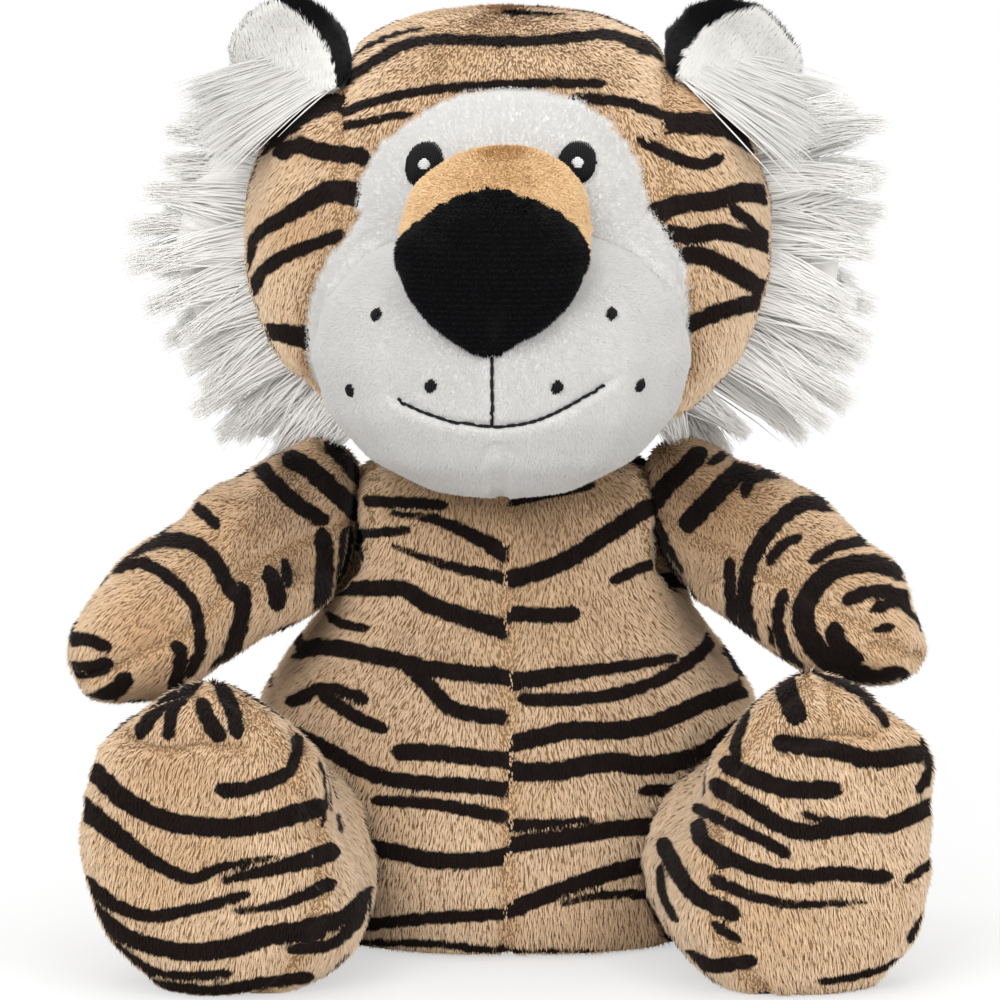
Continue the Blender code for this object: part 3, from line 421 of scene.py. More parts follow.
class TigerSettings(bpy.types.PropertyGroup):
    pile_length: length_setting("Pile length", "Length of the striped pile", 0.0018)
    pile_width: length_setting("Pile width", "Half width of one tuft at its foot", 0.0002)
    pile_count: FloatProperty(
        name="Pile count", description="Tufts on each square metre", default=4.4e6
    )
    face_pile_length: length_setting("Face pile length", "Length of the white pile", 0.0008)
    face_pile_count: FloatProperty(
        name="Face pile count", description="White tufts on each square metre", default=1.0e7
    )
    mane_strands: IntProperty(
        name="Mane strands", description="Strands on each side of the mane", default=5400
    )
    mane_width: length_setting("Mane width", "Half width of one strand", 0.00015)
    tan: colour_setting("Tan", "Tips of the striped pile", (0.90, 0.705, 0.505))
    # The tan root is darker than the tips, as painted shade deep in the pile
    tan_root_shade: colour_setting("Tan root", "Foot of the striped pile", (0.52, 0.33, 0.18))
    # Richer, darker colour of patches. It also paints shade in folds, beside seams and under other parts
    tan_patch_and_shade: colour_setting("Tan patch", "Richer patches", (0.68, 0.42, 0.22))
    stripe: colour_setting("Stripe", "Dark stripes", (0.012, 0.008, 0.007))
    white: colour_setting("White", "Face and muzzle", (0.67, 0.663, 0.648))
    mane: colour_setting("Mane", "Long pile of the mane", (0.88, 0.865, 0.835))
    bridge: colour_setting("Bridge", "Bridge of the nose", (0.92, 0.655, 0.37))
    black: colour_setting("Black", "Nose, ears and thread", (0.005, 0.005, 0.006))


def settings():
    return bpy.context.scene.tiger_settings


def new_object(name, mesh):
    made = bpy.data.objects.new(name, mesh)
    bpy.context.scene.collection.objects.link(made)
    return made


def mesh_of(bm, name):
    mesh = bpy.data.meshes.new(name)
    bm.to_mesh(mesh)
    bm.free()
    return mesh


def settled(thing):
    """Makes the modifiers of an object part of its mesh."""
    bpy.context.view_layer.update()
    seen = thing.evaluated_get(bpy.context.evaluated_depsgraph_get())
    mesh = bpy.data.meshes.new_from_object(seen)
    thing.modifiers.clear()
    spent = thing.data
    thing.data = mesh
    bpy.data.meshes.remove(spent)
    return thing


def points_of(mesh):
    flat = np.empty(len(mesh.vertices) * 3)
    mesh.vertices.foreach_get("co", flat)
    return flat.reshape(-1, 3)


def outward_of(mesh):
    flat = np.empty(len(mesh.vertices) * 3)
    mesh.vertex_normals.foreach_get("vector", flat)
    return flat.reshape(-1, 3)


def place_points(mesh, points):
    mesh.vertices.foreach_set("co", points.ravel())
    mesh.update()


def write(mesh, name, values):
    """Keeps a number or a vector for each point of the mesh."""
    kind = "FLOAT" if values.ndim == 1 else "FLOAT_VECTOR"
    kept = mesh.attributes.get(name) or mesh.attributes.new(name, kind, "POINT")
    kept.data.foreach_set("value" if kind == "FLOAT" else "vector", values.astype(np.float32).ravel())


def read(mesh, name):
    kept = mesh.attributes[name]
    wide = 1 if kept.data_type == "FLOAT" else 3
    flat = np.empty(len(kept.data) * wide, np.float32)
    kept.data.foreach_get("value" if wide == 1 else "vector", flat)
    return flat if wide == 1 else flat.reshape(-1, 3)


def unit(vectors):
    return vectors / np.maximum(np.linalg.norm(vectors, axis=1, keepdims=True), tiny)


def dimmed(colour, share):
    return tuple(part * share for part in colour)


def surface_of(thing):
    return BVHTree.FromObject(thing, bpy.context.evaluated_depsgraph_get())


def undyed(points, outward):
    return np.zeros(len(points))


def no_seam(points, outward=None):
    """The room to the nearest seam, for a piece without seams."""
    return np.full(len(points), no_limit)


def softened(mesh, mass_outward, share, two_sided=False):
    """Shades fine hairs more like the soft mass that they make up together. The faces that
    look away from a two-sided mass are shaded like its other side."""
    corners = np.empty(len(mesh.loops), np.int32)
    mesh.loops.foreach_get("vertex_index", corners)
    own, mass = outward_of(mesh)[corners], unit(mass_outward)[corners]
    if two_sided:
        sizes = np.empty(len(mesh.polygons), np.int32)
        mesh.polygons.foreach_get("loop_total", sizes)
        flat = np.empty(len(sizes) * 3)
        mesh.polygon_normals.foreach_get("vector", flat)
        facing = np.repeat(flat.reshape(-1, 3), sizes, axis=0)
        mass = mass * np.where(np.sum(facing * mass, axis=1, keepdims=True) < 0, -1, 1)
    mesh.normals_split_custom_set(unit(own * (1 - share) + mass * share))


def eased(values, low, high):
    """0 below low, 1 above high and a smooth rise between them."""
    share = np.clip((values - low) / (high - low), 0, 1)
    return share * share * (3 - 2 * share)


def flowing(knots, steps=5):
    """A smooth line through the knots."""
    knots = [np.array(knot, float) for knot in knots]
    last = len(knots) - 1
    line = []
    for index in range(last):
        a, b, c, d = (knots[min(max(index + shift, 0), last)] for shift in (-1, 0, 1, 2))
        for step in range(steps):
            t = step / steps
            bend = (2 * a - 5 * b + 4 * c - d) * t + (3 * b - a - 3 * c + d) * t * t
            line.append(b + (c - a + bend) * t / 2)
    line.append(knots[-1])
    return np.array(line)


def from_front(points):
    """Points as millimetres across and up on the front plane."""
    reach = points - camera_target
    scale = camera_distance / (camera_distance + reach @ sight)
    across = reach[:, 0] * scale + camera_target[0]
    return np.stack([across, reach @ sight_up * scale], axis=1) / millimetre


# How much a surface has to face the camera for its folds and stripes to be drawn from the front
front_share = 0.05
striped_share = 0.15


def facing_front(points, outward):
    return -np.sum(unit(points - camera_place) * outward, axis=1)


def met(tree, spot):
    """Where a spot of the front plane meets a surface, and the surface's direction there."""
    across, up = np.array(spot) * millimetre
    aim = camera_target + np.array((across - camera_target[0], 0, 0)) + sight_up * up
    hit, outward, _, _ = tree.ray_cast(Vector(camera_place), Vector(aim - camera_place).normalized())
    return None if hit is None else (np.array(hit), np.array(outward))


def onto(tree, spot):
    found = met(tree, spot)
    if found is None:
        raise RuntimeError(f"nothing of the toy lies at {spot} on the front plane")
    return found


def off_line(plane, line):
    """Distance of each spot from a line, and how far along the line it lies."""
    best = np.full(len(plane), np.inf)
    along_best = np.zeros(len(plane))
    run = 0.0
    for start, end in zip(line[:-1], line[1:]):
        step = end - start
        length = np.linalg.norm(step)
        share = np.clip((plane - start) @ step / max(length * length, 1e-12), 0, 1)
        away = np.linalg.norm(plane - start - share[:, None] * step, axis=1)
        nearer = away < best
        best[nearer] = away[nearer]
        along_best[nearer] = run + share[nearer] * length
        run += length
    return best, along_best, run


def inside_outline(plane, outline):
    inside = np.zeros(len(plane), bool)
    x, z = plane[:, 0], plane[:, 1]
    for (x0, z0), (x1, z1) in zip(outline, outline[1:] + outline[:1]):
        if z0 == z1:
            continue
        crosses = (z0 > z) != (z1 > z)
        inside ^= crosses & (x < x0 + (z - z0) / (z1 - z0) * (x1 - x0))
    return inside


stripe_fuzz_mm = 0.4
stripe_taper_mm = 2.4
stripe_width_share = 1.25
stripe_drop_mm = 0.3
cover_reach = 5
stripe_wobble_mm = 0.16
wobble_spacing_mm = 2.4


def brushed(plane, strokes):
    """How far inside a stroke each spot lies: 1 and above is dark, 0 and below is not."""
    dark = np.full(len(plane), -float(cover_reach))
    shake = np.stack(
        [wandering(plane[:, 0], plane[:, 1], seed, wobble_spacing_mm) for seed in (1, 2)], axis=1
    )
    shaken = plane + shake * stripe_wobble_mm + (0, stripe_drop_mm)
    for start, end, *knots in strokes:
        line = flowing(knots)
        margin = max(start, end)
        near = ((shaken > line.min(0) - margin) & (shaken < line.max(0) + margin)).all(axis=1)
        chosen = np.flatnonzero(near)
        if not len(chosen):
            continue
        away, along, run = off_line(shaken[chosen], line)
        width = (start + (end - start) * along / run) / 2 * stripe_width_share
        tip = np.clip(np.minimum(along, run - along) / min(stripe_taper_mm, run / 2), 0, 1)
        width = width * np.sqrt(tip * (2 - tip))
        cover = np.clip((width - away) / stripe_fuzz_mm + 0.5, -cover_reach, cover_reach)
        dark[chosen] = np.maximum(dark[chosen], cover)
    return dark


def wandering(u, v, seed, spacing, waves=7):
    """Smooth noise between about -1 and 1, made of a few waves."""
    chance = np.random.RandomState(seed)
    total = np.zeros(len(u))
    for _ in range(waves):
        angle, pace, phase = chance.uniform(0, 1, 3)
        swing = 2 * math.pi * (0.6 + pace) / spacing
        angle *= 2 * math.pi
        total += np.sin((u * math.cos(angle) + v * math.sin(angle)) * swing + phase * 2 * math.pi)
    return total / math.sqrt(waves)


unseen_spacing_mm = 11.0


def unseen_stripes(u, v, seed):
    """Broken, tapered stripes along u, one after another along v, both in millimetres."""
    bend = 0.3 * wandering(u, v, seed, 60)
    wave = np.sin(2 * math.pi * (v / unseen_spacing_mm + bend))
    breaks = wandering(u, v, seed + 1, 38)
    return np.clip((wave - 0.5 - 0.42 * breaks) / 0.16, -cover_reach, cover_reach)


def head_local(points):
    turn = -head_turn
    x = points[:, 0] * math.cos(turn) - points[:, 1] * math.sin(turn)
    y = points[:, 0] * math.sin(turn) + points[:, 1] * math.cos(turn)
    return np.stack([x, y, points[:, 2]], axis=1)


def joint_place(name):
    joint = next(joint for joint in frame["record"]["behaviour"]["joints"] if joint["name"] == name)
    return np.array(joint["pos_m"], float)


def gathered(name, nodes):
    """One mesh of the solids of several nodes."""
    bm = bmesh.new()
    for node in nodes:
        bm.from_mesh(frame["nodes"][node].data)
    bmesh.ops.remove_doubles(bm, verts=bm.verts, dist=merge_distance)
    return new_object(name, mesh_of(bm, name))


def tree_of(nodes):
    bm = bmesh.new()
    for node in nodes:
        bm.from_mesh(frame["nodes"][node].data)
    tree = BVHTree.FromBMesh(bm)
    bm.free()
    return tree


def room_to(points, nodes):
    """Distance of each point from the solids of other nodes."""
    if not nodes:
        return no_seam(points)
    tree = tree_of(nodes)
    return np.array([tree.find_nearest(Vector(point))[3] for point in points])


class Wire:
    """A node's socket that numbers and other sockets can be worked out with."""

    def __init__(self, recipe, socket):
        self.recipe = recipe
        self.socket = socket

    def worked(self, operation, other):
        return self.recipe.node("ShaderNodeMath", {"operation": operation}, {0: self, 1: other})

    def __add__(self, other):
        return self.worked("ADD", other)

    def __mul__(self, other):
        return self.worked("MULTIPLY", other)


class Recipe:
    """Adds nodes to a tree, with what they are set to and linked to."""

    def __init__(self, tree):
        self.tree = tree

    def node(self, kind, options=None, sockets=None, output=0):
        made = self.tree.nodes.new(kind)
        for name, value in (options or {}).items():
            if name == "stops":
                for place, shade in value[1:-1]:
                    made.color_ramp.elements.new(place)
                for element, (place, shade) in zip(made.color_ramp.elements, value):
                    element.position = place
                    element.color = (*shade, 1) if hasattr(shade, "__len__") else (shade, shade, shade, 1)
            else:
                setattr(made, name, value)
        for name, value in (sockets or {}).items():
            if isinstance(value, Wire):
                self.tree.links.new(value.socket, made.inputs[name])
            else:
                made.inputs[name].default_value = value
        return Wire(self, made.outputs[output])


class Finish(Recipe):
    """A material in the making."""

    def __init__(self, name):
        self.material = bpy.data.materials.new(name)
        self.material.use_nodes = True
        super().__init__(self.material.node_tree)
        self.shader = self.tree.nodes["Principled BSDF"]
        self.place = self.node("ShaderNodeTexCoord", output="Object")

    def set(self, **values):
        for name, value in values.items():
            socket = self.shader.inputs[name.replace("_", " ")]
            if isinstance(value, Wire):
                self.tree.links.new(value.socket, socket)
            else:
                socket.default_value = value
        return self

    def attribute(self, name):
        return self.node("ShaderNodeAttribute", {"attribute_name": name}, output="Fac")

    def grain(self, size, detail=2.0, stretch=None):
        """Noise whose features are about that size."""
        place = self.place
        if stretch:
            place = self.node("ShaderNodeMapping", {}, {"Vector": place, "Scale": stretch})
        return self.node(
            "ShaderNodeTexNoise", {}, {"Vector": place, "Scale": 1 / size, "Detail": detail}, "Fac"
        )

    def mixed(self, share, first, second):
        first, second = (
            colour if isinstance(colour, Wire) else (*colour, 1) for colour in (first, second)
        )
        return self.node("ShaderNodeMix", {"data_type": "RGBA"}, {0: share, 6: first, 7: second}, 2)

    def between(self, value, low, high):
        """0 where the value is below low, 1 where it is above high."""
        return self.node("ShaderNodeMapRange", {}, {"Value": value, "From Min": low, "From Max": high})

    def bumped(self, height, distance):
        sockets = {"Height": height, "Distance": distance, "Strength": 1.0}
        made = self.node("ShaderNodeBump", {}, sockets)
        self.tree.links.new(made.socket, self.shader.inputs["Normal"])
        return self


def dressed(thing, material):
    thing.data.materials.clear()
    thing.data.materials.append(material)
    return thing


# Colour of the stripes' tips. The stripes' feet are darker, as painted shade deep in the pile
stripe_tip = (0.019, 0.0125, 0.010)


def striped_finish(name):
    """Pile dyed with the stripes. Its foot is dark and its tips lighter, as painted shade deep in the pile.
    It is richer in patches, partly the pile's own colour and partly painted shade in folds, beside seams and
    under other parts.
    """
    chosen = settings()
    cloth = Finish(name)
    tip, tone = cloth.attribute("tip"), cloth.attribute("tone")
    stripe = cloth.between(cloth.attribute("stripe") + tone * 0.8, 0.4, 1.4)
    # Richer, darker patches: noise for the pile's own uneven colour, plus the spots and seam lines kept on
    # the pile, which are partly painted shade
    patches = cloth.between(cloth.grain(0.02, 3), 0.5, 0.7) * 0.22 + cloth.attribute("warm") * 0.8
    light = cloth.mixed(patches, chosen.tan, chosen.tan_patch_and_shade)
    share = cloth.between(tip * 0.75 + tone * 0.45, 0.05, 1.0)
    ground = cloth.mixed(share, chosen.tan_root_shade, light)
    dark = cloth.mixed(share * 0.8, chosen.stripe, stripe_tip)
    cloth.set(Base_Color=cloth.mixed(stripe, ground, dark), Roughness=0.9, Sheen_Weight=0.06)
    cloth.set(Sheen_Roughness=0.5, Specular_IOR_Level=0.05)
    return cloth.material


def plain_finish(name, colour, root, roughness=0.85, sheen=0.1, row_highlights=None):
    """Pile of one dye, darker at its foot as painted shade deep in the pile, and uneven from tuft to tuft.
    The last argument, if given, holds the colour and the spacing of painted highlights along the knit's
    lines, one above another."""
    cloth = Finish(name)
    tip, tone = cloth.attribute("tip"), cloth.attribute("tone")
    share = cloth.between(tip * 0.7 + tone * 0.4 + cloth.grain(0.006) * 0.3, 0.1, 1.1)
    dyed = cloth.mixed(share, root, colour)
    if row_highlights:
        # Painted highlights along the knit's lines, broken into dashes
        shade, spacing = row_highlights
        wave = cloth.node("ShaderNodeTexWave", {"bands_direction": "Z"}, {
            "Vector": cloth.place, "Scale": math.pi / 10 / spacing, "Distortion": 2.5, "Detail Scale": 2.5,
        }, "Fac")
        broken = cloth.between(cloth.grain(0.0007, 2), 0.4, 0.6)
        dyed = cloth.mixed(cloth.between(wave, 0.45, 0.9) * broken, dyed, shade)
    cloth.set(Base_Color=dyed, Roughness=roughness, Sheen_Weight=sheen)
    cloth.set(Specular_IOR_Level=0.12 if max(colour) > 0.1 else 0.06)
    return cloth.material


def backing_finish(name, colour, dark=None, pale=None):
    """The knit that the pile stands on, dyed through with the stripes and the pale parts. The colours it is
    given are mostly darker than its pile, as painted shade under the pile.
    """
    cloth = Finish(name)
    weave = cloth.grain(0.0006, 1)
    ground = cloth.mixed(weave, dimmed(colour, 0.75), colour)
    if dark:
        ground = cloth.mixed(cloth.between(cloth.attribute("stripe"), 0, 1), ground, dark)
    if pale:
        ground = cloth.mixed(cloth.attribute("pale"), ground, pale)
    cloth.set(Base_Color=ground, Roughness=0.95, Specular_IOR_Level=0.2)
    return cloth.bumped(weave, 0.0003).material


def thread_finish(name, colour):
    """Embroidery thread with its twist."""
    cloth = Finish(name)
    twist = cloth.grain(0.00025, 1)
    cloth.set(
        Base_Color=cloth.mixed(twist, dimmed(colour, 0.7), colour),
        Roughness=0.6,
        Specular_IOR_Level=0.2,
    )
    return cloth.bumped(twist, 0.00008).material


def tuft_form():
    """One tuft, a slim point that stands on the origin, with no face on its lower side."""
    bm = bmesh.new()
    bmesh.ops.create_cone(bm, cap_ends=False, segments=3, radius1=1, radius2=0, depth=1)
    bm.normal_update()
    under = min(bm.faces, key=lambda face: face.normal.y)
    bmesh.ops.delete(bm, geom=[under], context="FACES_ONLY")
    bmesh.ops.translate(bm, vec=(0, 0, 0.5), verts=bm.verts)
    mesh = mesh_of(bm, "tuft")
    write(mesh, "tip", points_of(mesh)[:, 2])
    return new_object("tuft", mesh)


# Pile that is cut shorter than the least share isn't planted. A tuft's length runs from the
# first of the length shares to the sum of both
least_cut = 0.06
tuft_length_shares = (0.7, 0.5)


def laid_pile(patch, tuft, look):
    """Plants a tuft on every spot of the patch and combs it along the patch's nap."""
    group = bpy.data.node_groups.new("pile", "GeometryNodeTree")
    group.interface.new_socket("Geometry", in_out="INPUT", socket_type="NodeSocketGeometry")
    group.interface.new_socket("Geometry", in_out="OUTPUT", socket_type="NodeSocketGeometry")
    plan = Recipe(group)
    ground = plan.node("NodeGroupInput")

    def kept(name, kind="FLOAT"):
        return plan.node("GeometryNodeInputNamedAttribute", {"data_type": kind}, {"Name": name})

    def vectors(operation, first, second):
        return plan.node("ShaderNodeVectorMath", {"operation": operation}, {0: first, 1: second})

    def scaled(first, by):
        return plan.node("ShaderNodeVectorMath", {"operation": "SCALE"}, {0: first, "Scale": by})

    cover = kept("cut")
    grows = plan.node("ShaderNodeMath", {"operation": "GREATER_THAN"}, {0: cover, 1: least_cut})
    spots = plan.node(
        "GeometryNodeDistributePointsOnFaces", {},
        {"Mesh": ground, "Density": grows * look["count"], "Seed": look["seed"]},
    )
    outward = Wire(plan, spots.socket.node.outputs["Normal"])
    place = plan.node("GeometryNodeInputPosition")
    swirl = plan.node(
        "ShaderNodeTexNoise", {}, {"Vector": place, "Scale": 1 / look["clump"], "Detail": 1.0}, "Color"
    )
    swirl = vectors("SUBTRACT", swirl, (0.5, 0.5, 0.5))
    shake = plan.node(
        "FunctionNodeRandomValue", {"data_type": "FLOAT_VECTOR"},
        {0: (-1.0, -1.0, -1.0), 1: (1.0, 1.0, 1.0), "Seed": look["seed"] + 1},
    )
    way = vectors("ADD", kept("nap", "FLOAT_VECTOR"), scaled(outward, look["rise"]))
    way = vectors("ADD", way, scaled(swirl, look["swirl"]))
    way = vectors("ADD", way, scaled(shake, look["jitter"]))
    lean = plan.node("FunctionNodeAlignRotationToVector", {"axis": "Z"}, {"Vector": way})
    lean = plan.node(
        "FunctionNodeAlignRotationToVector", {"axis": "Y", "pivot_axis": "Z"},
        {"Rotation": lean, "Vector": outward},
    )
    luck = plan.node(
        "FunctionNodeRandomValue", {"data_type": "FLOAT"}, {2: 0.0, 3: 1.0, "Seed": look["seed"] + 2}, 1
    )
    length = (luck * tuft_length_shares[1] + tuft_length_shares[0]) * cover * look["length"]
    size = plan.node("ShaderNodeCombineXYZ", {}, {0: look["width"], 1: look["width"], 2: length})
    form = plan.node("GeometryNodeObjectInfo", {}, {"Object": tuft}, "Geometry")
    grown = plan.node(
        "GeometryNodeInstanceOnPoints", {},
        {"Points": spots, "Instance": form, "Rotation": lean, "Scale": size},
    )
    for name, kind, value in (("root", "FLOAT_VECTOR", place), ("out", "FLOAT_VECTOR", outward),
                              ("tone", "FLOAT", luck)):
        grown = plan.node(
            "GeometryNodeStoreNamedAttribute", {"data_type": kind, "domain": "INSTANCE"},
            {"Geometry": grown, "Name": name, "Value": value},
        )
    grown = plan.node("GeometryNodeRealizeInstances", {}, {"Geometry": grown})
    out = group.nodes.new("NodeGroupOutput")
    group.links.new(grown.socket, out.inputs["Geometry"])
    patch.modifiers.new("pile", "NODES").node_group = group
    settled(patch)
    bpy.data.node_groups.remove(group)
    for name in ("nap", "cut"):
        kept_row = patch.data.attributes.get(name)
        if kept_row:
            patch.data.attributes.remove(kept_row)
    return patch


sim_scale = 20.0
sim_frames = 20
sim_pressure = 4.0
sim_mass = 0.02
sim_growth_share = 0.03


def filled(skin, held, give):
    """Fills the skin under pressure with its seams held; no point moves further than give."""
    rest = points_of(skin.data)
    place_points(skin.data, rest * sim_scale)
    seams = skin.vertex_groups.new(name="seams")
    seams.add([int(index) for index in np.flatnonzero(held)], 1.0, "REPLACE")
    cloth = skin.modifiers.new("filling", "CLOTH")
    cloth.settings.vertex_group_mass = seams.name
    cloth.settings.mass = sim_mass
    cloth.settings.use_pressure = True
    cloth.settings.uniform_pressure_force = sim_pressure
    cloth.settings.shrink_min = -sim_growth_share
    cloth.settings.effector_weights.gravity = 0
    cloth.point_cache.frame_start = 1
    cloth.point_cache.frame_end = sim_frames
    scene = bpy.context.scene
    for number in range(1, sim_frames + 1):
        scene.frame_set(number)
    seen = skin.evaluated_get(bpy.context.evaluated_depsgraph_get())
    swollen = points_of(seen.data) / sim_scale
    skin.modifiers.clear()
    skin.vertex_groups.clear()
    scene.frame_set(1)
    step = swollen - rest
    far = np.linalg.norm(step, axis=1, keepdims=True)
    place_points(skin.data, rest + step * np.minimum(1, give / np.maximum(far, tiny)))
    return skin


def smoothed(skin, rounds):
    change = skin.modifiers.new("smooth", "SMOOTH")
    change.factor = 0.5
    change.iterations = rounds
    return settled(skin)


regain_slack = 0.0003


def regained(skin, form):
    """Lets the skin out again where smoothing drew it inside its form."""
    points = points_of(skin.data)
    for index, point in enumerate(points):
        place, outward, _, away = form.find_nearest(Vector(point))
        step = place - Vector(point)
        if away > regain_slack and step.dot(outward) > 0:
            points[index] += np.array(step) * (1 - regain_slack / away)
    place_points(skin.data, points)


outline_parts = 90
fit_rounds = 2
fit_blur_shares = (0.1, 0.2, 0.4, 0.2, 0.1)
fit_spread_shares = (0.75, 1.4)
floor_room = 0.0004


def polar(plane, middle):
    reach = plane - middle
    return np.degrees(np.arctan2(reach[:, 1], reach[:, 0])) % 360, np.hypot(reach[:, 0], reach[:, 1])


def fitted(skin, outline, weight=None):
    """Spreads or draws in the skin round its middle, until the front shows its outline."""
    middle, *spots = outline
    points = points_of(skin.data)
    weight = np.ones(len(points)) if weight is None else weight(points)
    turn, reach = polar(flowing([*spots, spots[0]], 6), middle)
    order = np.argsort(turn)
    centres = (np.arange(outline_parts) + 0.5) * 360 / outline_parts
    wanted = np.interp(centres, turn[order], reach[order], period=360)
    for _ in range(fit_rounds):
        plane = from_front(points)
        angle, far = polar(plane, middle)
        part = (angle / 360 * outline_parts).astype(int) % outline_parts
        own = np.zeros(outline_parts)
        np.maximum.at(own, part, far * (weight > 0.6))
        own = (np.roll(own, 1) + own * 2 + np.roll(own, -1)) / 4
        ratio = np.clip(wanted / np.maximum(own, tiny), *fit_spread_shares)
        ratio = sum(np.roll(ratio, shift) * share for shift, share in zip(range(-2, 3), fit_blur_shares))
        ratio = np.interp(angle, centres, ratio, period=360)
        step = (plane - middle) * ((ratio - 1) * weight)[:, None] * millimetre
        scale = camera_distance / (camera_distance + (points - camera_target) @ sight)
        points[:, 0] += step[:, 0] / scale
        points += sight_up * (step[:, 1] / scale)[:, None]
        points[:, 2] = np.maximum(points[:, 2], floor_room)
    place_points(skin.data, points)
    return skin


def lifted(skin, neighbour, gap, spread=0.0001):
    """Brings the seen side of the skin out in front of the neighbour that would hide it. The
    points within the spread of a lifted point come along with it."""
    points, outward = points_of(skin.data), outward_of(skin.data)
    front = facing_front(points, outward)
    seen = np.flatnonzero(front > 0)
    ways = unit(points - camera_place)
    far = np.linalg.norm(points - camera_place, axis=1)
    tree = surface_of(bpy.data.objects[neighbour])
    lift = np.zeros(len(points))
    for index in seen:
        hit, _, _, away = tree.ray_cast(Vector(camera_place), Vector(ways[index]))
        if hit is not None:
            lift[index] = max(0, far[index] - away + gap * min(1, front[index] * 5))
    raised = np.flatnonzero(lift > 0)
    carried = lift.copy()
    for index in seen:
        away = np.linalg.norm(points[raised] - points[index], axis=1)
        carried[index] = np.max(lift[raised] * np.exp(-((away / spread) ** 2)), initial=lift[index])
    place_points(skin.data, points - ways * carried[:, None])
    return skin


def subdivided(skin):
    change = skin.modifiers.new("smooth faces", "SUBSURF")
    change.levels = change.render_levels = 1
    return settled(skin)


class Cut(NamedTuple):
    """How a cover is made: the grain of its skin, the rounds that smooth it, how far its filling
    can push it out, how deep it lies under its pile, and its seams."""

    voxel: float
    rounds: int
    give: float
    sink: float
    seam_depth: float = 0.0
    seam_width: float = no_limit
    fine: bool = False


cuts = {
    "torso": Cut(0.0017, 14, 0.0016, 0.0008, 0.0008, 0.0014),
    "head": Cut(0.0016, 16, 0.0014, 0.0008, 0.0008, 0.0013),
    "muzzle": Cut(0.0012, 14, 0.0006, 0.0004, 0.0002, 0.001),
    "nose": Cut(0.0009, 10, 0.0006, 0.0002),
    "limb": Cut(0.0014, 10, 0.0014, 0.0006, 0.0006, 0.0012),
    "tail": Cut(0.0012, 6, 0.0008, 0.0004, fine=True),
    "ear": Cut(0.001, 6, 0.0004, 0.0004, fine=True),
}

# Points of the skin this many voxels from a seam are held by it
held_voxels = 1.2


def stuffed(name, nodes, cut, seam_room):
    """A padded cover round the solids of its nodes, full between its seams."""
    skin = gathered(name, nodes)
    change = skin.modifiers.new("one skin", "REMESH")
    change.mode = "VOXEL"
    change.voxel_size = cut.voxel
    settled(skin)
    form = surface_of(skin)
    smoothed(skin, cut.rounds)
    regained(skin, form)
    smoothed(skin, 3)
    filled(skin, seam_room(points_of(skin.data)) < cut.voxel * held_voxels, cut.give)
    smoothed(skin, 2)
    if cut.fine:
        subdivided(skin)
    points, outward = points_of(skin.data), outward_of(skin.data)
    place_points(skin.data, points - outward * cut.sink)
    skin.data.shade_smooth()
    return skin


def creased(skin, cut, seam_room, creases=()):
    """Draws the seams and the stitched folds into the skin."""
    points, outward = points_of(skin.data), outward_of(skin.data)
    depth = cut.seam_depth * np.exp(-((seam_room(points) / cut.seam_width) ** 2))
    plane = from_front(points)
    front = facing_front(points, outward) > front_share
    for deep, wide, *knots in creases:
        away, _, _ = off_line(plane, flowing(knots))
        fold = deep * millimetre * np.exp(-((away / wide) ** 2))
        depth = np.maximum(depth, np.where(front, fold, 0))
    place_points(skin.data, points - outward * depth[:, None])
    return skin


def fold_room(points, outward, creases):
    """Distance in metres of each point of the front from the nearest stitched fold."""
    plane = from_front(points)
    room = no_seam(points)
    front = facing_front(points, outward) > front_share
    for _, _, *knots in creases:
        away, _, _ = off_line(plane, flowing(knots))
        room = np.minimum(room, np.where(front, away * millimetre, no_limit))
    return room


def hung(piece, body):
    """Moves a piece with its body. A piece of an ear is only fixed in place and moves with no body."""
    if not body.startswith("ear_"):
        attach(piece, body)
        return
    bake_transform(piece)


# Beside a seam the pile is shorter and tinted richer and darker, as painted shade in the seam's crease, and
# against a neighbour it is shorter too
seam_shade_reach = 0.0022
seam_shade = 0.7
seam_cut_share = 0.3
seam_cut_reach = (0.0003, 0.0022)
near_cut_share = 0.35
near_cut_reach = (0, 0.002)
pile_room = 0.0002

# Where along a tuft its dye is worked out
dye_shares = (0.35, 0.9)

# How each kind of pile stands: its rise from the cloth, and how it wavers
pile_looks = {
    "striped": {"rise": 0.5, "swirl": 0.8, "jitter": 0.2, "clump": 0.0045},
    "face": {"rise": 0.7, "swirl": 0.5, "jitter": 0.25, "clump": 0.004, "soft": 0.6},
    "ear": {"rise": 0.5, "swirl": 0.6, "jitter": 0.25, "clump": 0.004, "soft": 0.5},
    "fuzz": {"rise": 1.2, "swirl": 0.3, "jitter": 0.5, "clump": 0.003},
}


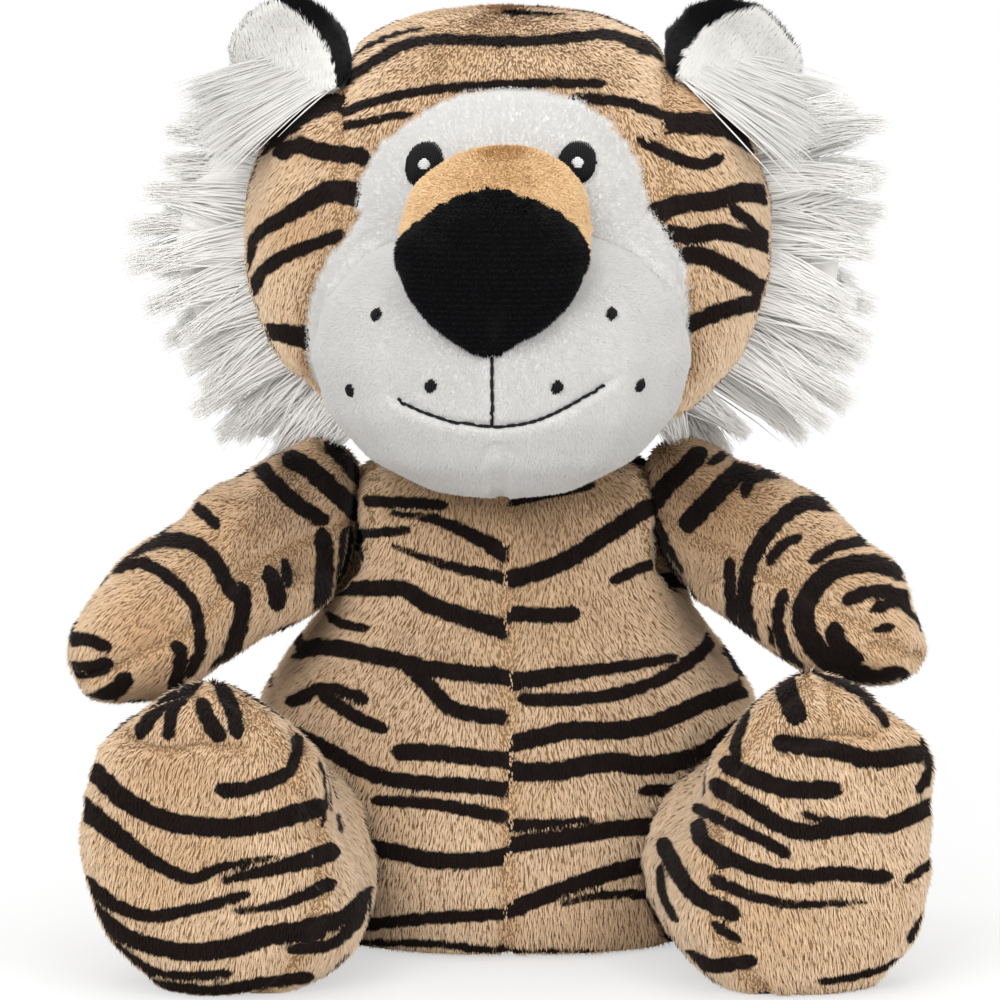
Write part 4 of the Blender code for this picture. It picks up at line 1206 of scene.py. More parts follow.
def pile(name, skin, body, chosen, nap, near, seams, look, dye, material, replaced):
    """Pile on the chosen part of a skin. It is short beside a seam and absent against a
    neighbour. dye gives the darkness of each tuft from its foot and its outward direction."""
    patch = new_object(name, skin.data.copy())
    bm = bmesh.new()
    bm.from_mesh(patch.data)
    wanted = chosen(np.array([face.calc_center_median() for face in bm.faces]))
    spare = [face for face, keep in zip(bm.faces, wanted) if not keep]
    bmesh.ops.delete(bm, geom=spare, context="FACES")
    bm.to_mesh(patch.data)
    bm.free()
    points, outward = points_of(patch.data), outward_of(patch.data)
    room = room_to(points, near)
    close = near_cut_share + (1 - near_cut_share) * eased(room, *near_cut_reach)
    cut = np.where(room > look["bare"], close, 0)
    seam = seams(points, outward)
    cut *= seam_cut_share + (1 - seam_cut_share) * eased(seam, *seam_cut_reach)
    # Painted shade beside the seams and folds
    warm = seam_shade * np.exp(-((seam / seam_shade_reach) ** 2))
    plane, front = from_front(points), facing_front(points, outward) > 0
    # Spots of richer, darker colour, partly painted shade in folds and under other parts
    for across, up, reach, strength in warm_and_shaded_spots_mm.get(body, ()):
        away = np.hypot(plane[:, 0] - across, plane[:, 1] - up) / reach
        warm = np.maximum(warm, strength * np.exp(-(away**2)) * front)
    write(patch.data, "warm", warm)
    if "bald" in look:
        cut *= look["bald"](points, outward)
    way = nap(points, outward)
    way = unit(way - outward * np.sum(way * outward, axis=1, keepdims=True))
    write(patch.data, "nap", way)
    write(patch.data, "cut", cut)
    tuft = tuft_form()
    laid_pile(patch, tuft, look)
    bpy.data.objects.remove(tuft)
    points = points_of(patch.data)
    ends = points[read(patch.data, "tip") > 0.5]
    corners = len(points) // len(ends)
    spots, planted = (read(patch.data, name)[::corners] for name in ("root", "out"))
    low, high = (dye(spots + (ends - spots) * share, planted) for share in dye_shares)
    slope = (high - low) / (dye_shares[1] - dye_shares[0])
    foot = low - slope * dye_shares[0]
    dark = np.repeat(foot, corners)
    dark[read(patch.data, "tip") > 0.5] = foot + slope
    write(patch.data, "stripe", dark)
    points[:, 2] = np.maximum(points[:, 2], pile_room)
    place_points(patch.data, points)
    patch.data.shade_smooth()
    if "soft" in look:
        softened(patch.data, read(patch.data, "out"), look["soft"])
    for spent in ("root", "out"):
        patch.data.attributes.remove(patch.data.attributes[spent])
    dressed(patch, material)
    hung(patch, body)
    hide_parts(*replaced)
    return patch


def look_of(kind, seed, **changes):
    chosen = settings()
    short = kind != "striped"
    look = {
        "length": chosen.face_pile_length if short else chosen.pile_length,
        "width": chosen.pile_width * (0.6 if short else 1.0),
        "count": chosen.face_pile_count if short else chosen.pile_count,
        "seed": seed,
        "bare": 0.0001,
        **pile_looks[kind],
        **changes,
    }
    return look


def downward(points, outward):
    return np.tile((0.0, -0.15, -1.0), (len(points), 1)) + 0.15 * points * (1, 0, 0) / 0.05


def drawn_or_unseen(panel, unseen):
    """The dye of a panel: its strokes where it faces the front, and its own rhythm elsewhere."""
    strokes = stripe_strokes_mm[panel]

    def dye(points, outward):
        front = facing_front(points, outward) > striped_share
        dark = np.zeros(len(points))
        dark[front] = brushed(from_front(points[front]), strokes)
        dark[~front] = unseen(points[~front])
        return dark

    return dye


def torso_rhythm(points):
    u, v = points[:, 0] / millimetre, points[:, 2] / millimetre
    return np.where(u < 0, unseen_stripes(-u, v, 21), unseen_stripes(u, v + 3, 26))


def head_rhythm(points):
    local = head_local(points) - head_centre
    over = np.arctan2(local[:, 2], -local[:, 1]) * 45
    return unseen_stripes(local[:, 0] / millimetre, over, 33)


def limb_rhythm(start, way, seed):
    way = np.array(way, float) / np.linalg.norm(way)

    def rhythm(points):
        reach = points - start
        along = reach @ way
        across = reach - along[:, None] * way
        round_it = np.arctan2(across[:, 2], across @ np.cross(way, (0, 0, 1.0))) * 16
        return unseen_stripes(round_it, along / millimetre, seed)

    return rhythm


def tail_rhythm(points):
    middle = joint_place("tail_swing") + np.array((tail_curl_radius, 0, 0))
    reach = points - middle
    return unseen_stripes(points[:, 2] / millimetre, np.arctan2(reach[:, 1], -reach[:, 0]) * 30, 5)


def all_nodes(*starts):
    return [name for name in frame["nodes"] if name.startswith(starts)]


limb_nodes = all_nodes("arm_upper", "arm_under", "leg_side", "sole", "tail_cover")
torso_covers = all_nodes("torso_front", "torso_back")
head_covers = all_nodes("crown", "cheek", "eye_patch")
torso_nodes = torso_covers + ["seat_panel", "torso_stuffing", "pellet_bag"]

# Colours that the panel doesn't set
# The tan knit is much darker than the tan pile, as painted shade under the pile and in the seams where it
# shows
tan_knit_and_shade = (0.32, 0.2, 0.105)
dark_knit = (0.012, 0.008, 0.007)
# The ear's knit is greyer than its white pile, as painted shade under the pile
ear_knit = (0.5, 0.48, 0.45)
ear_dark_knit = (0.006, 0.006, 0.006)
# Darker colours at the foot of the pile, as painted shade deep in the pile
black_root_shade = (0.002, 0.002, 0.002)
bridge_root_shade = (0.72, 0.48, 0.25)
# Lighter lines on the black nose, painted highlights of its knit, and their spacing
nose_row_highlight = (0.011, 0.011, 0.013)
nose_row_highlight_spacing = 0.0011
white_thread = (0.8, 0.8, 0.82)
# How much darker the foot of the white pile is, as painted shade deep in the pile
white_root_shade_share = 0.92
# How much greyer silky pile is at its foot and in streaks, as painted shade between the strands
silk_shade_share = 0.88


def placed(piece, body, node):
    """Hangs a piece on its body in the place of its node."""
    hung(piece, body)
    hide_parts(node)
    return piece


def finished_skin(skin, body, material, replaced, dye=None):
    """Dyes the padded skin and hangs it on its body."""
    points, outward = points_of(skin.data), outward_of(skin.data)
    points[:, 2] = np.maximum(points[:, 2], floor_room)
    place_points(skin.data, points)
    write(skin.data, "stripe", dye(points, outward) if dye else np.zeros(len(points)))
    dressed(skin, material)
    hung(skin, body)
    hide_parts(*replaced)
    return skin


def pieced_dye(*pairs):
    """The dye of a skin of several panels, each given as its place test and its dye."""

    def dye(points, outward):
        dark = np.zeros(len(points))
        for belongs, own in pairs:
            here = belongs(points)
            dark[here] = own(points[here], outward[here])
        return dark

    return dye


# How far a side's stripes run past the middle seam
seam_overlap = 0.0002


def up_to_seam(side, dye):
    """The dye of one side, which ends at the middle seam."""

    def ended(points, outward):
        return np.where(points[:, 0] * side > -seam_overlap, dye(points, outward), -cover_reach)

    return ended


torso_widening_share = 1.02
seat_sag = 0.0036
seat_heights = (0.006, 0.034)
shoulder_share = 0.34
shoulder_heights = (0.064, 0.088)


class TIGER_OT_torso(bpy.types.Operator):
    """Fill the torso's cover, draw its seams and lay its striped pile"""

    bl_idname = "tiger.torso"
    bl_label = "Torso"

    def execute(self, context):
        def seam_room(points):
            return np.minimum(np.abs(points[:, 0]), np.abs(points[:, 1] - side_seam_set_back))

        def panel(side, front):
            def belongs(points):
                facing = points[:, 1] < side_seam_set_back
                return (points[:, 0] * side >= 0) & (facing == front) & (points[:, 2] > 0.001)

            return belongs

        skin = stuffed("torso_cover", torso_nodes, cuts["torso"], seam_room)
        points = points_of(skin.data)
        points[:, 0] *= torso_widening_share + shoulder_share * eased(points[:, 2], *shoulder_heights)
        points[:, 2] -= seat_sag * (1 - eased(points[:, 2], *seat_heights))
        points[:, 2] = np.maximum(points[:, 2], floor_room)
        place_points(skin.data, points)
        creased(skin, cuts["torso"], seam_room)
        dyes = {}
        for side, side_name in sides:
            dyes[side, True] = up_to_seam(side, drawn_or_unseen(f"torso_{side_name}", torso_rhythm))
            dyes[side, False] = lambda points, outward: torso_rhythm(points)
        finished_skin(
            skin, "torso", backing_finish("torso_knit", tan_knit_and_shade, dark_knit),
            torso_nodes, pieced_dye(*((panel(*key), dye) for key, dye in dyes.items())),
        )
        material = striped_finish("torso_pile")
        for (side, front), dye in dyes.items():
            side_name, face_name = dict(sides)[side], "front" if front else "back"
            node = f"torso_{face_name}_{side_name}"
            pile(
                f"torso_pile_{face_name}_{side_name}", skin, "torso", panel(side, front), downward,
                limb_nodes + head_covers, lambda points, outward: seam_room(points),
                look_of("striped", 10 + side + 4 * front), dye, material, [node],
            )
        return {"FINISHED"}


def face_panel(points):
    outline = [tuple(spot) for spot in face_outline_mm]
    return inside_outline(from_front(points), outline) & (points[:, 1] < 0)


def outline_room(points):
    line = [np.array(spot, float) for spot in (*face_outline_mm, face_outline_mm[0])]
    away, _, _ = off_line(from_front(points), line)
    return np.where(points[:, 1] < 0, away * millimetre, no_limit)


def head_seam_room(points):
    seam = np.abs(np.abs(head_local(points)[:, 0]) - crown_seam)
    seam = np.where(face_panel(points), no_limit, seam)
    return np.minimum(seam, outline_room(points))


def bare_round(spots_mm, reach_mm):
    """Clears the pile round stitched places of the front."""

    def bald(points, outward):
        plane = from_front(points)
        keep = np.ones(len(points))
        for across, up, wide, high in spots_mm:
            u, v = (plane[:, 0] - across) / (wide + reach_mm), (plane[:, 1] - up) / (high + reach_mm)
            away = np.hypot(u, v)
            keep *= np.where(away < 1, 0, 1)
        return keep

    return bald


# Height on the front plane at which the crown's seams reach the white face
crown_end_mm = 73

# Where the white face's nap spreads from, and how far round the eyes its pile is bare
face_nap_centre = np.array((0, -0.05, 0.142))
eye_bare_mm = -0.3

# How long the head's striped pile is, as a share of the torso's
head_pile_share = 0.85


class TIGER_OT_head(bpy.types.Operator):
    """Fill the head's cover and lay the pile of its crown, cheeks and white face"""

    bl_idname = "tiger.head"
    bl_label = "Head"

    def execute(self, context):
        nodes = head_covers + ["head_stuffing"]
        skin = stuffed("head_cover", nodes, cuts["head"], head_seam_room)
        creased(skin, cuts["head"], head_seam_room, creases_mm["head"])

        def below_crown(points):
            return (points[:, 1] < 0) & (from_front(points)[:, 1] < crown_end_mm)

        def crown(points):
            middle = (np.abs(head_local(points)[:, 0]) < crown_seam) & ~below_crown(points)
            return middle & ~face_panel(points)

        def cheek(side):
            def belongs(points):
                across = head_local(points)[:, 0] * side
                own = (across >= crown_seam) | ((across >= 0) & below_crown(points))
                return own & ~face_panel(points)

            return belongs

        dyes = {"crown": (crown, drawn_or_unseen("crown", head_rhythm))}
        for side, side_name in sides:
            key = f"cheek_{side_name}"
            dyes[key] = (cheek(side), drawn_or_unseen(key, head_rhythm))
        knit = backing_finish("head_knit", tan_knit_and_shade, dark_knit, settings().white)
        dye = pieced_dye(*dyes.values(), (face_panel, undyed))
        finished_skin(skin, "head", knit, nodes, dye)
        write(skin.data, "pale", face_panel(points_of(skin.data)).astype(float))

        def nap(points, outward):
            way = np.tile((0.0, -0.25, -1.0), (len(points), 1))
            way[:, 0] = points[:, 0] / 0.05 * 0.5
            return way

        def face_nap(points, outward):
            return points - face_nap_centre

        below_face = all_nodes("muzzle_left", "muzzle_right", "nose_bridge")
        near = below_face + all_nodes("ear_front", "ear_back") + torso_covers
        material = striped_finish("head_pile")
        for index, (key, (belongs, dye)) in enumerate(dyes.items()):
            node = "crown_panel" if key == "crown" else key
            look = look_of("striped", 40 + index, length=settings().pile_length * head_pile_share)
            pile(
                f"{key}_pile", skin, "head", belongs, nap, near,
                lambda points, outward: head_seam_room(points), look, dye, material, [node],
            )
        white = plain_finish("face_pile", settings().white, dimmed(settings().white, white_root_shade_share))
        for side, side_name in sides:
            node = f"eye_patch_{side_name}"
            pile(
                f"face_pile_{side_name}", skin, "head",
                lambda points: face_panel(points) & (points[:, 0] * side >= 0), face_nap,
                below_face,
                lambda points, outward: outline_room(points),
                look_of("face", 50 + side, bald=bare_round(eyes_mm.values(), eye_bare_mm)),
                undyed, white, [node],
            )
        return {"FINISHED"}


muzzle_seam_top = 0.105

# Where the muzzle's nap spreads from, and how far round the dots its pile is bare
muzzle_nap_centre = np.array((0, -0.06, 0.148))
dot_half_size_mm = 0.9
dot_bare_mm = -0.2


class TIGER_OT_muzzle(bpy.types.Operator):
    """Fill the muzzle, draw the mouth into it and lay its white pile"""

    bl_idname = "tiger.muzzle"
    bl_label = "Muzzle"

    def execute(self, context):
        nodes = ["muzzle_left", "muzzle_right", "muzzle_stuffing"]

        def seam_room(points):
            middle = np.abs(head_local(points)[:, 0])
            return np.where(points[:, 2] < muzzle_seam_top, middle, no_limit)

        skin = stuffed("muzzle_cover", nodes, cuts["muzzle"], seam_room)
        creased(skin, cuts["muzzle"], seam_room, creases_mm["muzzle"])
        finished_skin(skin, "head", backing_finish("muzzle_knit", settings().white),
                      nodes)
        material = plain_finish("muzzle_pile", settings().white, dimmed(settings().white, white_root_shade_share))
        dots = [(x, z, dot_half_size_mm, dot_half_size_mm) for spots in dots_mm.values() for x, z in spots]

        def nap(points, outward):
            return points - muzzle_nap_centre

        for side, side_name in sides:
            pile(
                f"muzzle_pile_{side_name}", skin, "head", lambda points: points[:, 0] * side >= 0, nap,
                ["nose", "nose_bridge"] + torso_covers,
                lambda points, outward: fold_room(points, outward, creases_mm["muzzle"]),
                look_of("face", 60 + side, bald=bare_round(dots, dot_bare_mm)),
                undyed, material,
                [f"muzzle_{side_name}"],
            )
        return {"FINISHED"}


nose_pile = {"width": 0.00016, "count": 1.4e7, "bare": 0.0002}
nose_pile_lengths = {"bridge": 0.0007, "nose": 0.0009}

# How far in front of the muzzle the nose and its bridge lie at least
nose_gaps = {"bridge": 0.0006, "nose": 0.0009}


class TIGER_OT_nose(bpy.types.Operator):
    """Fill the nose and its bridge and cover them with knit and velour"""

    bl_idname = "tiger.nose"
    bl_label = "Nose and bridge"

    def execute(self, context):
        chosen = settings()
        for node, colour, root, spent, seed, row_highlights in (
            ("nose_bridge", chosen.bridge, bridge_root_shade, "bridge", 71, None),
            ("nose", chosen.black, black_root_shade, "nose", 72, (nose_row_highlight, nose_row_highlight_spacing)),
        ):
            skin = stuffed(f"{spent}_cover", [node], cuts["nose"], no_seam)
            fitted(skin, outlines_mm[spent])
            lifted(skin, "muzzle_cover", nose_gaps[spent])
            creased(skin, cuts["nose"], no_seam, creases_mm.get(spent, ()))
            finished_skin(skin, "head", backing_finish(f"{spent}_knit", root), [node])
            look = look_of("fuzz", seed, length=nose_pile_lengths[spent], **nose_pile)
            pile(
                f"{spent}_pile", skin, "head", lambda points: points[:, 1] < -0.03, downward,
                ["muzzle_left", "muzzle_right"] if spent == "bridge" else [],
                lambda points, outward: fold_room(points, outward, creases_mm.get(spent, ())),
                look, undyed,
                plain_finish(f"{spent}_pile", colour, root, 0.9, 0.03, row_highlights), [node],
            )
        return {"FINISHED"}


class TIGER_OT_limbs(bpy.types.Operator):
    """Fill the arms, the legs and the tail, and lay their striped pile"""

    bl_idname = "tiger.limbs"
    bl_label = "Arms, legs and tail"

    def execute(self, context):
        material = striped_finish("limb_pile")
        knit = backing_finish("limb_knit", tan_knit_and_shade, dark_knit)
        for side, side_name in sides:
            turn = leg_turns[side_name]
            arm_way = np.array((side * arm_reach[0], -arm_reach[1], -arm_reach[2]))
            leg_way = np.array((side * math.sin(turn), -math.cos(turn), 0)) * leg_length
            for kind, motion, panels, way, seed, seam_share in (
                ("arm", "lift", ("arm_upper", "arm_under"), arm_way, 80, None),
                ("leg", "turn", ("leg_side", "sole"), leg_way, 90, sole_seam_share),
            ):
                name = f"{kind}_{side_name}"
                covers = [f"{panel}_{side_name}" for panel in panels]
                stuffing = f"{kind}_stuffing_{side_name}"
                start = joint_place(f"{name}_{motion}")
                self.limb(name, covers, stuffing, start, way, material, knit, seed + side, seam_share)
        self.tail(material, knit)
        return {"FINISHED"}

    def limb(self, name, covers, stuffing, start, way, material, knit, seed, seam_share):
        length = np.linalg.norm(way)

        def seam_room(points):
            if seam_share is None:
                return no_seam(points)
            return np.abs((points - start) @ way / length - seam_share * length)

        creases = creases_mm[name]
        skin = stuffed(f"{name}_cover", covers + [stuffing], cuts["limb"], seam_room)

        def outer(points):
            return eased((points - start) @ way / length / length, 0.1, 0.6)

        fitted(skin, outlines_mm[name], outer if seam_share else None)
        creased(skin, cuts["limb"], seam_room, creases)
        dye = drawn_or_unseen(name, limb_rhythm(start, way, seed))
        finished_skin(skin, name, knit, covers + [stuffing], dye)

        def room(points, outward):
            return np.minimum(fold_room(points, outward, creases), seam_room(points))

        def nap(points, outward):
            if seam_share is None:
                return np.tile(way / length + (0, 0, -0.5), (len(points), 1))
            return np.tile(way / length * 0.4 + (0, 0, -1.0), (len(points), 1))

        def first(points):
            if seam_share is None:
                return points[:, 2] > -1
            return (points - start) @ way / length < seam_share * length

        groups = [(name, covers, first)]
        if seam_share is not None:
            groups = [(f"{name}_side", covers[:1], first),
                      (f"{name}_sole", covers[1:], lambda points: ~first(points))]
        for shift, (pile_name, replaced, belongs) in enumerate(groups):
            pile(
                f"{pile_name}_pile", skin, name, belongs, nap, torso_covers, room,
                look_of("striped", seed + 3 * shift), dye, material, replaced,
            )

    def tail(self, material, knit):
        def dye(points, outward):
            return tail_rhythm(points)

        def nap(points, outward):
            reach = points - joint_place("tail_swing") - np.array((tail_curl_radius, 0, 0))
            return np.stack([reach[:, 1], -reach[:, 0], np.zeros(len(points))], axis=1)

        skin = stuffed("tail_fill", ["tail_cover", "tail_stuffing"], cuts["tail"], no_seam)
        finished_skin(skin, "tail", knit, ["tail_cover", "tail_stuffing"], dye)
        pile("tail_pile", skin, "tail", lambda points: points[:, 2] > 0.0008, nap, torso_covers,
             no_seam, look_of("striped", 99), dye, material,
             ["tail_cover"])


ear_lean = math.radians(25)
ear_cup = 0.0024
ear_half_width = 0.012
ear_half_height = 0.013
ear_middle_rise = 0.01
ear_back_reach = 0.0006
ear_gap = 0.0032
ear_gap_spread = 0.005
ear_back_pile = {"length": 0.002, "width": 0.00018, "count": 1.2e7, "bare": -1}
ear_front_pile = {"length": 0.0019, "width": 0.00014, "count": 1.2e7, "bare": -1}

# The hair of the ear's hollow: its length at the outer end and what the inner end adds to it, its
# slope at the inner end and what the outer end adds to it, and how both vary
ear_hair_count = 1100
ear_hair_length = 0.013
ear_hair_inner_length = 0.008
ear_hair_length_shares = (0.5, 1.1)
ear_hair_inner_slope = -0.7
ear_hair_outer_slope = 0.5
ear_hair_slope_spread = 0.1

# The lower edge of each ear's hollow, from its inner to its outer end
ear_hollow_mm = {"left": ((-36.5, 83.8), (-51, 86)), "right": ((35.5, 85.2), (53, 85.5))}


class TIGER_OT_ears(bpy.types.Operator):
    """Cup the ears and lay their black backs and white fronts"""

    bl_idname = "tiger.ears"
    bl_label = "Ears"

    def execute(self, context):
        chosen = settings()
        black = plain_finish("ear_back_pile", chosen.black, black_root_shade, 0.9, 0.1)
        white = plain_finish("ear_front_pile", chosen.mane, dimmed(chosen.mane, silk_shade_share))
        knit = backing_finish("ear_knit", ear_knit, ear_dark_knit)
        for side, side_name in sides:
            self.ear(side, side_name, black, white, knit)
        return {"FINISHED"}

    def ear(self, side, side_name, black, white, knit):
        nodes = [f"ear_front_{side_name}", f"ear_back_{side_name}"]
        body = f"ear_{side_name}"
        foot = joint_place(f"ear_{side_name}_fold")
        across = np.array((side * math.cos(ear_lean), 0, -math.sin(ear_lean)))
        rise = np.array((side * math.sin(ear_lean), 0, math.cos(ear_lean)))
        edge = np.array(sorted(ear_edges_mm[side_name], key=lambda spot: spot[1]))

        def dark(points):
            plane = from_front(points)
            border = np.interp(plane[:, 1], edge[:, 1], edge[:, 0])
            behind = head_local(points)[:, 1] > head_local(foot[None, :])[0, 1] + ear_back_reach
            return behind | ((plane[:, 0] - border) * -side > 0)

        def dye(points, outward):
            return dark(points).astype(float)

        def nap(points, outward):
            return np.tile(rise + (0, -0.1, 0), (len(points), 1)) + across * side * 0.2

        skin = stuffed(f"ear_cover_{side_name}", nodes, cuts["ear"], no_seam)
        fitted(skin, outlines_mm[f"ear_{side_name}"])
        points = points_of(skin.data)
        reach = points - foot
        wide = (reach @ across) / ear_half_width
        high = (reach @ rise - ear_middle_rise) / ear_half_height
        hollow = np.clip(1 - (wide**2 + high**2) / 0.8, 0, 1)
        points[:, 1] += np.where(reach[:, 1] < 0, ear_cup * eased(hollow, 0, 1), 0)
        place_points(skin.data, points)
        lifted(skin, "head_cover", ear_gap, ear_gap_spread)
        finished_skin(skin, body, knit, nodes, dye)
        pile(f"ear_pile_back_{side_name}", skin, body, dark, nap, head_covers, no_seam,
             look_of("ear", 110 + side, **ear_back_pile), undyed, black, nodes[1:])
        self.hair(side, side_name, skin, body, nodes[0])
        pile(f"ear_pile_front_{side_name}", skin, body, lambda points: ~dark(points), nap,
             head_covers, no_seam, look_of("ear", 120 + side, **ear_front_pile), undyed, white,
             nodes[:1])

    def hair(self, side, side_name, skin, body, node):
        """Long hair that grows from the ear's hollow, out and down towards the mane."""
        chance = np.random.RandomState(30 + side)
        tree = surface_of(skin)
        count = ear_hair_count // 1
        inner, outer = np.array(ear_hollow_mm[side_name])
        paths = []
        for _ in range(count):
            share = chance.uniform(0, 1)
            spot = inner + (outer - inner) * share + chance.normal(0, 1, 2)
            found = met(tree, spot)
            if found is None:
                continue
            place, outward = found
            length = ear_hair_length + ear_hair_inner_length * (1 - share)
            length *= chance.uniform(*ear_hair_length_shares)
            slope = ear_hair_inner_slope + ear_hair_outer_slope * share
            slope += chance.normal(0, ear_hair_slope_spread)
            steps = np.linspace(0, 1, mane_points)[:, None]
            out = np.array((side * 1.0, -0.12, slope))
            paths.append(place - (0, 0.0004, 0) + steps * out * length + steps**2 * (0, 0.0006, -0.0016))
        widths = [strand_widths(settings().mane_width)] * len(paths)
        thing = strands(f"ear_hair_{side_name}", paths, widths)
        mass = np.tile((side * 0.6, -1.0, -0.1), (len(thing.data.vertices), 1))
        softened(thing.data, mass, mane_softness, True)
        # The ear's hair takes a darker copy of the mane's silk, as painted shade in the ear's hollow
        dressed(thing, silk_finish(f"ear_silk_in_shade_{side_name}", dimmed(settings().mane, silk_shade_share)))
        placed(thing, body, node)


# The mane's tips, as angle in degrees and reach in millimetres from the head's middle
mane_tips = {
    "left": ((-50, 60), (-42, 67), (-33, 71), (-27, 72), (-23, 74), (-14, 74), (-7, 73.5), (-2, 76),
             (3, 77), (8, 76.5), (16, 72), (21, 73), (27, 71), (36, 62)),
    "right": ((-50, 58), (-44, 62), (-37, 73), (-26, 74), (-17, 76), (-12, 78.5), (-2, 77.5), (5, 79),
              (14, 78.5), (20, 80), (24, 77), (30, 70), (38, 60)),
}
mane_root_half_sizes = (0.052, 0.045)
mane_root_sunk = 0.004
mane_root_depth = (0.001, 0.014)
mane_clumps = 34
mane_reach_shares = (0.9, 1.03)

# How far the clumps' bends and the strands stray: angles in degrees, depths in metres
clump_turn_spread = 1.0
clump_bend_spread = 1.5
root_turn_spread = 2.2
tip_turn_spread = 0.9
root_depth_spread = 0.0018
root_depth_limits = (0.0005, 0.0145)
tip_depth_spread = 0.001
reach_spread_share = 0.045
wave_spread = 0.0003
mane_softness = 0.75
mane_roundness = 3
mane_points = 5
mane_droop = 0.0035
mane_middle_depth = 0.0075
mane_splay = 1.5
mane_base_share = 0.66
mane_base_start = (-52, -36)
mane_base_thickness = 0.2

# How wide a strand is at its foot, its middle and its tip
strand_width_shares = (0.8, 1, 0.25)


def strand_widths(width):
    return np.interp(np.linspace(0, 1, mane_points), (0, 0.5, 1), strand_width_shares) * width


def mane_root(angle):
    """Reach of the mane's foot from the head's middle, which lies inside the head's cover."""
    wide, high = mane_root_half_sizes
    return 1 / np.hypot(np.cos(angle) / wide, np.sin(angle) / high) - mane_root_sunk


def strands(name, paths, widths):
    """Round strands along their paths, thinner towards the tip, as one mesh."""
    line = bpy.data.curves.new(name, "CURVE")
    line.dimensions = "3D"
    line.bevel_depth = 1
    line.bevel_resolution = 0
    line.use_fill_caps = True
    for path, width in zip(paths, widths):
        spline = line.splines.new("POLY")
        spline.points.add(len(path) - 1)
        spline.points.foreach_set("co", np.c_[path, np.ones(len(path))].ravel())
        spline.points.foreach_set("radius", width)
    guide = new_object(name, line)
    mesh = bpy.data.meshes.new_from_object(guide.evaluated_get(bpy.context.evaluated_depsgraph_get()))
    bpy.data.objects.remove(guide)
    bpy.data.curves.remove(line)
    bm = bmesh.new()
    bm.from_mesh(mesh)
    bmesh.ops.remove_doubles(bm, verts=bm.verts, dist=merge_distance / 10)
    bm.normal_update()
    bmesh.ops.recalc_face_normals(bm, faces=bm.faces)
    bm.to_mesh(mesh)
    bm.free()
    mesh.name = name
    mesh.shade_smooth()
    return new_object(name, mesh)


def silk_finish(name, colour):
    """Long silky pile, greyer in streaks as painted shade for the depth between the strands."""
    cloth = Finish(name)
    shade = cloth.grain(0.004, 2, (1.0, 1.0, 3.0))
    cloth.set(Base_Color=cloth.mixed(shade, dimmed(colour, silk_shade_share), colour), Roughness=0.5)
    cloth.set(Specular_IOR_Level=0.2)
    return cloth.material


class TIGER_OT_mane(bpy.types.Operator):
    """Grow the mane's long strands in tapering clumps"""

    bl_idname = "tiger.mane"
    bl_label = "Mane"

    def execute(self, context):
        chosen = settings()
        material = silk_finish("mane_silk", chosen.mane)
        count = chosen.mane_strands // 1
        for side, side_name in sides:
            chance = np.random.RandomState(7 + side)
            tips = np.array(mane_tips[side_name], float)
            clump_angle = np.linspace(tips[0, 0], tips[-1, 0], mane_clumps)
            clump_angle = clump_angle + chance.normal(0, clump_turn_spread, mane_clumps)
            clump_reach = np.interp(clump_angle, tips[:, 0], tips[:, 1])
            clump_reach = clump_reach * chance.uniform(*mane_reach_shares, mane_clumps)
            layer = (chance.uniform(0, 1, mane_clumps) + np.arange(mane_clumps) % 2) / 2
            clump_depth = np.interp(layer, (0, 1), mane_root_depth)
            clump_bend = chance.normal(0, clump_bend_spread, mane_clumps)
            number = chance.randint(mane_clumps, size=count)
            root_angle = clump_angle[number] + chance.normal(0, root_turn_spread, count)
            tip_angle = clump_angle[number] + clump_bend[number] + chance.normal(0, tip_turn_spread, count)
            root_angle, tip_angle = np.radians(root_angle), np.radians(tip_angle)
            root_depth = clump_depth[number] + chance.normal(0, root_depth_spread, count)
            root_depth = np.clip(root_depth, *root_depth_limits)
            tip_depth = mane_middle_depth + (clump_depth[number] - mane_middle_depth) * mane_splay
            tip_depth += chance.normal(0, tip_depth_spread, count)
            root = mane_root(root_angle)
            short = np.abs(chance.normal(0, reach_spread_share, count))
            reach = clump_reach[number] * millimetre * (1 - short)
            share = np.linspace(0, 1, mane_points)[None, :]
            turn = root_angle[:, None] + (tip_angle - root_angle)[:, None] * share**1.3
            wave = chance.normal(0, wave_spread, count)[:, None] * np.sin(share * math.pi * 2)
            away = root[:, None] + (reach - root)[:, None] * share
            paths = np.stack([
                side * (np.cos(turn) * away - np.sin(turn) * wave),
                root_depth[:, None] + (tip_depth - root_depth)[:, None] * share,
                np.sin(turn) * away + np.cos(turn) * wave - mane_droop * share**2,
            ], axis=2) + head_centre * (1, 0, 1)
            paths = paths @ np.array(Matrix.Rotation(head_turn, 3, "Z")).T
            thing = strands(f"mane_strands_{side_name}", paths, [strand_widths(chosen.mane_width)] * count)
            mass = (points_of(thing.data) - head_centre) * (mane_roundness, 0, mane_roundness) - (0, 1, 0)
            softened(thing.data, mass, mane_softness, True)
            dressed(thing, material)
            for piece in (thing, self.base(f"mane_{side_name}", side_name, material)):
                placed(piece, "head", f"mane_{side_name}")
        return {"FINISHED"}

    def base(self, node, side_name, material):
        """The dense foot of the mane, which closes the gaps between the strands."""
        thing = gathered(f"mane_base_{side_name}", [node])
        points = points_of(thing.data)
        reach = points - head_centre
        angle = np.arctan2(reach[:, 2], np.abs(reach[:, 0]))
        far = np.hypot(reach[:, 0], reach[:, 2])
        root = mane_root(angle)
        grown = mane_base_share * eased(np.degrees(angle), *mane_base_start)
        share = (root + np.maximum(far - root, 0) * grown) / np.maximum(far, root)
        reach[:, 1] = mane_middle_depth + (reach[:, 1] - mane_middle_depth) * mane_base_thickness
        place_points(thing.data, head_centre + reach * np.stack([share, np.ones(len(share)), share], axis=1))
        thing.data.shade_smooth()
        return dressed(thing, material)


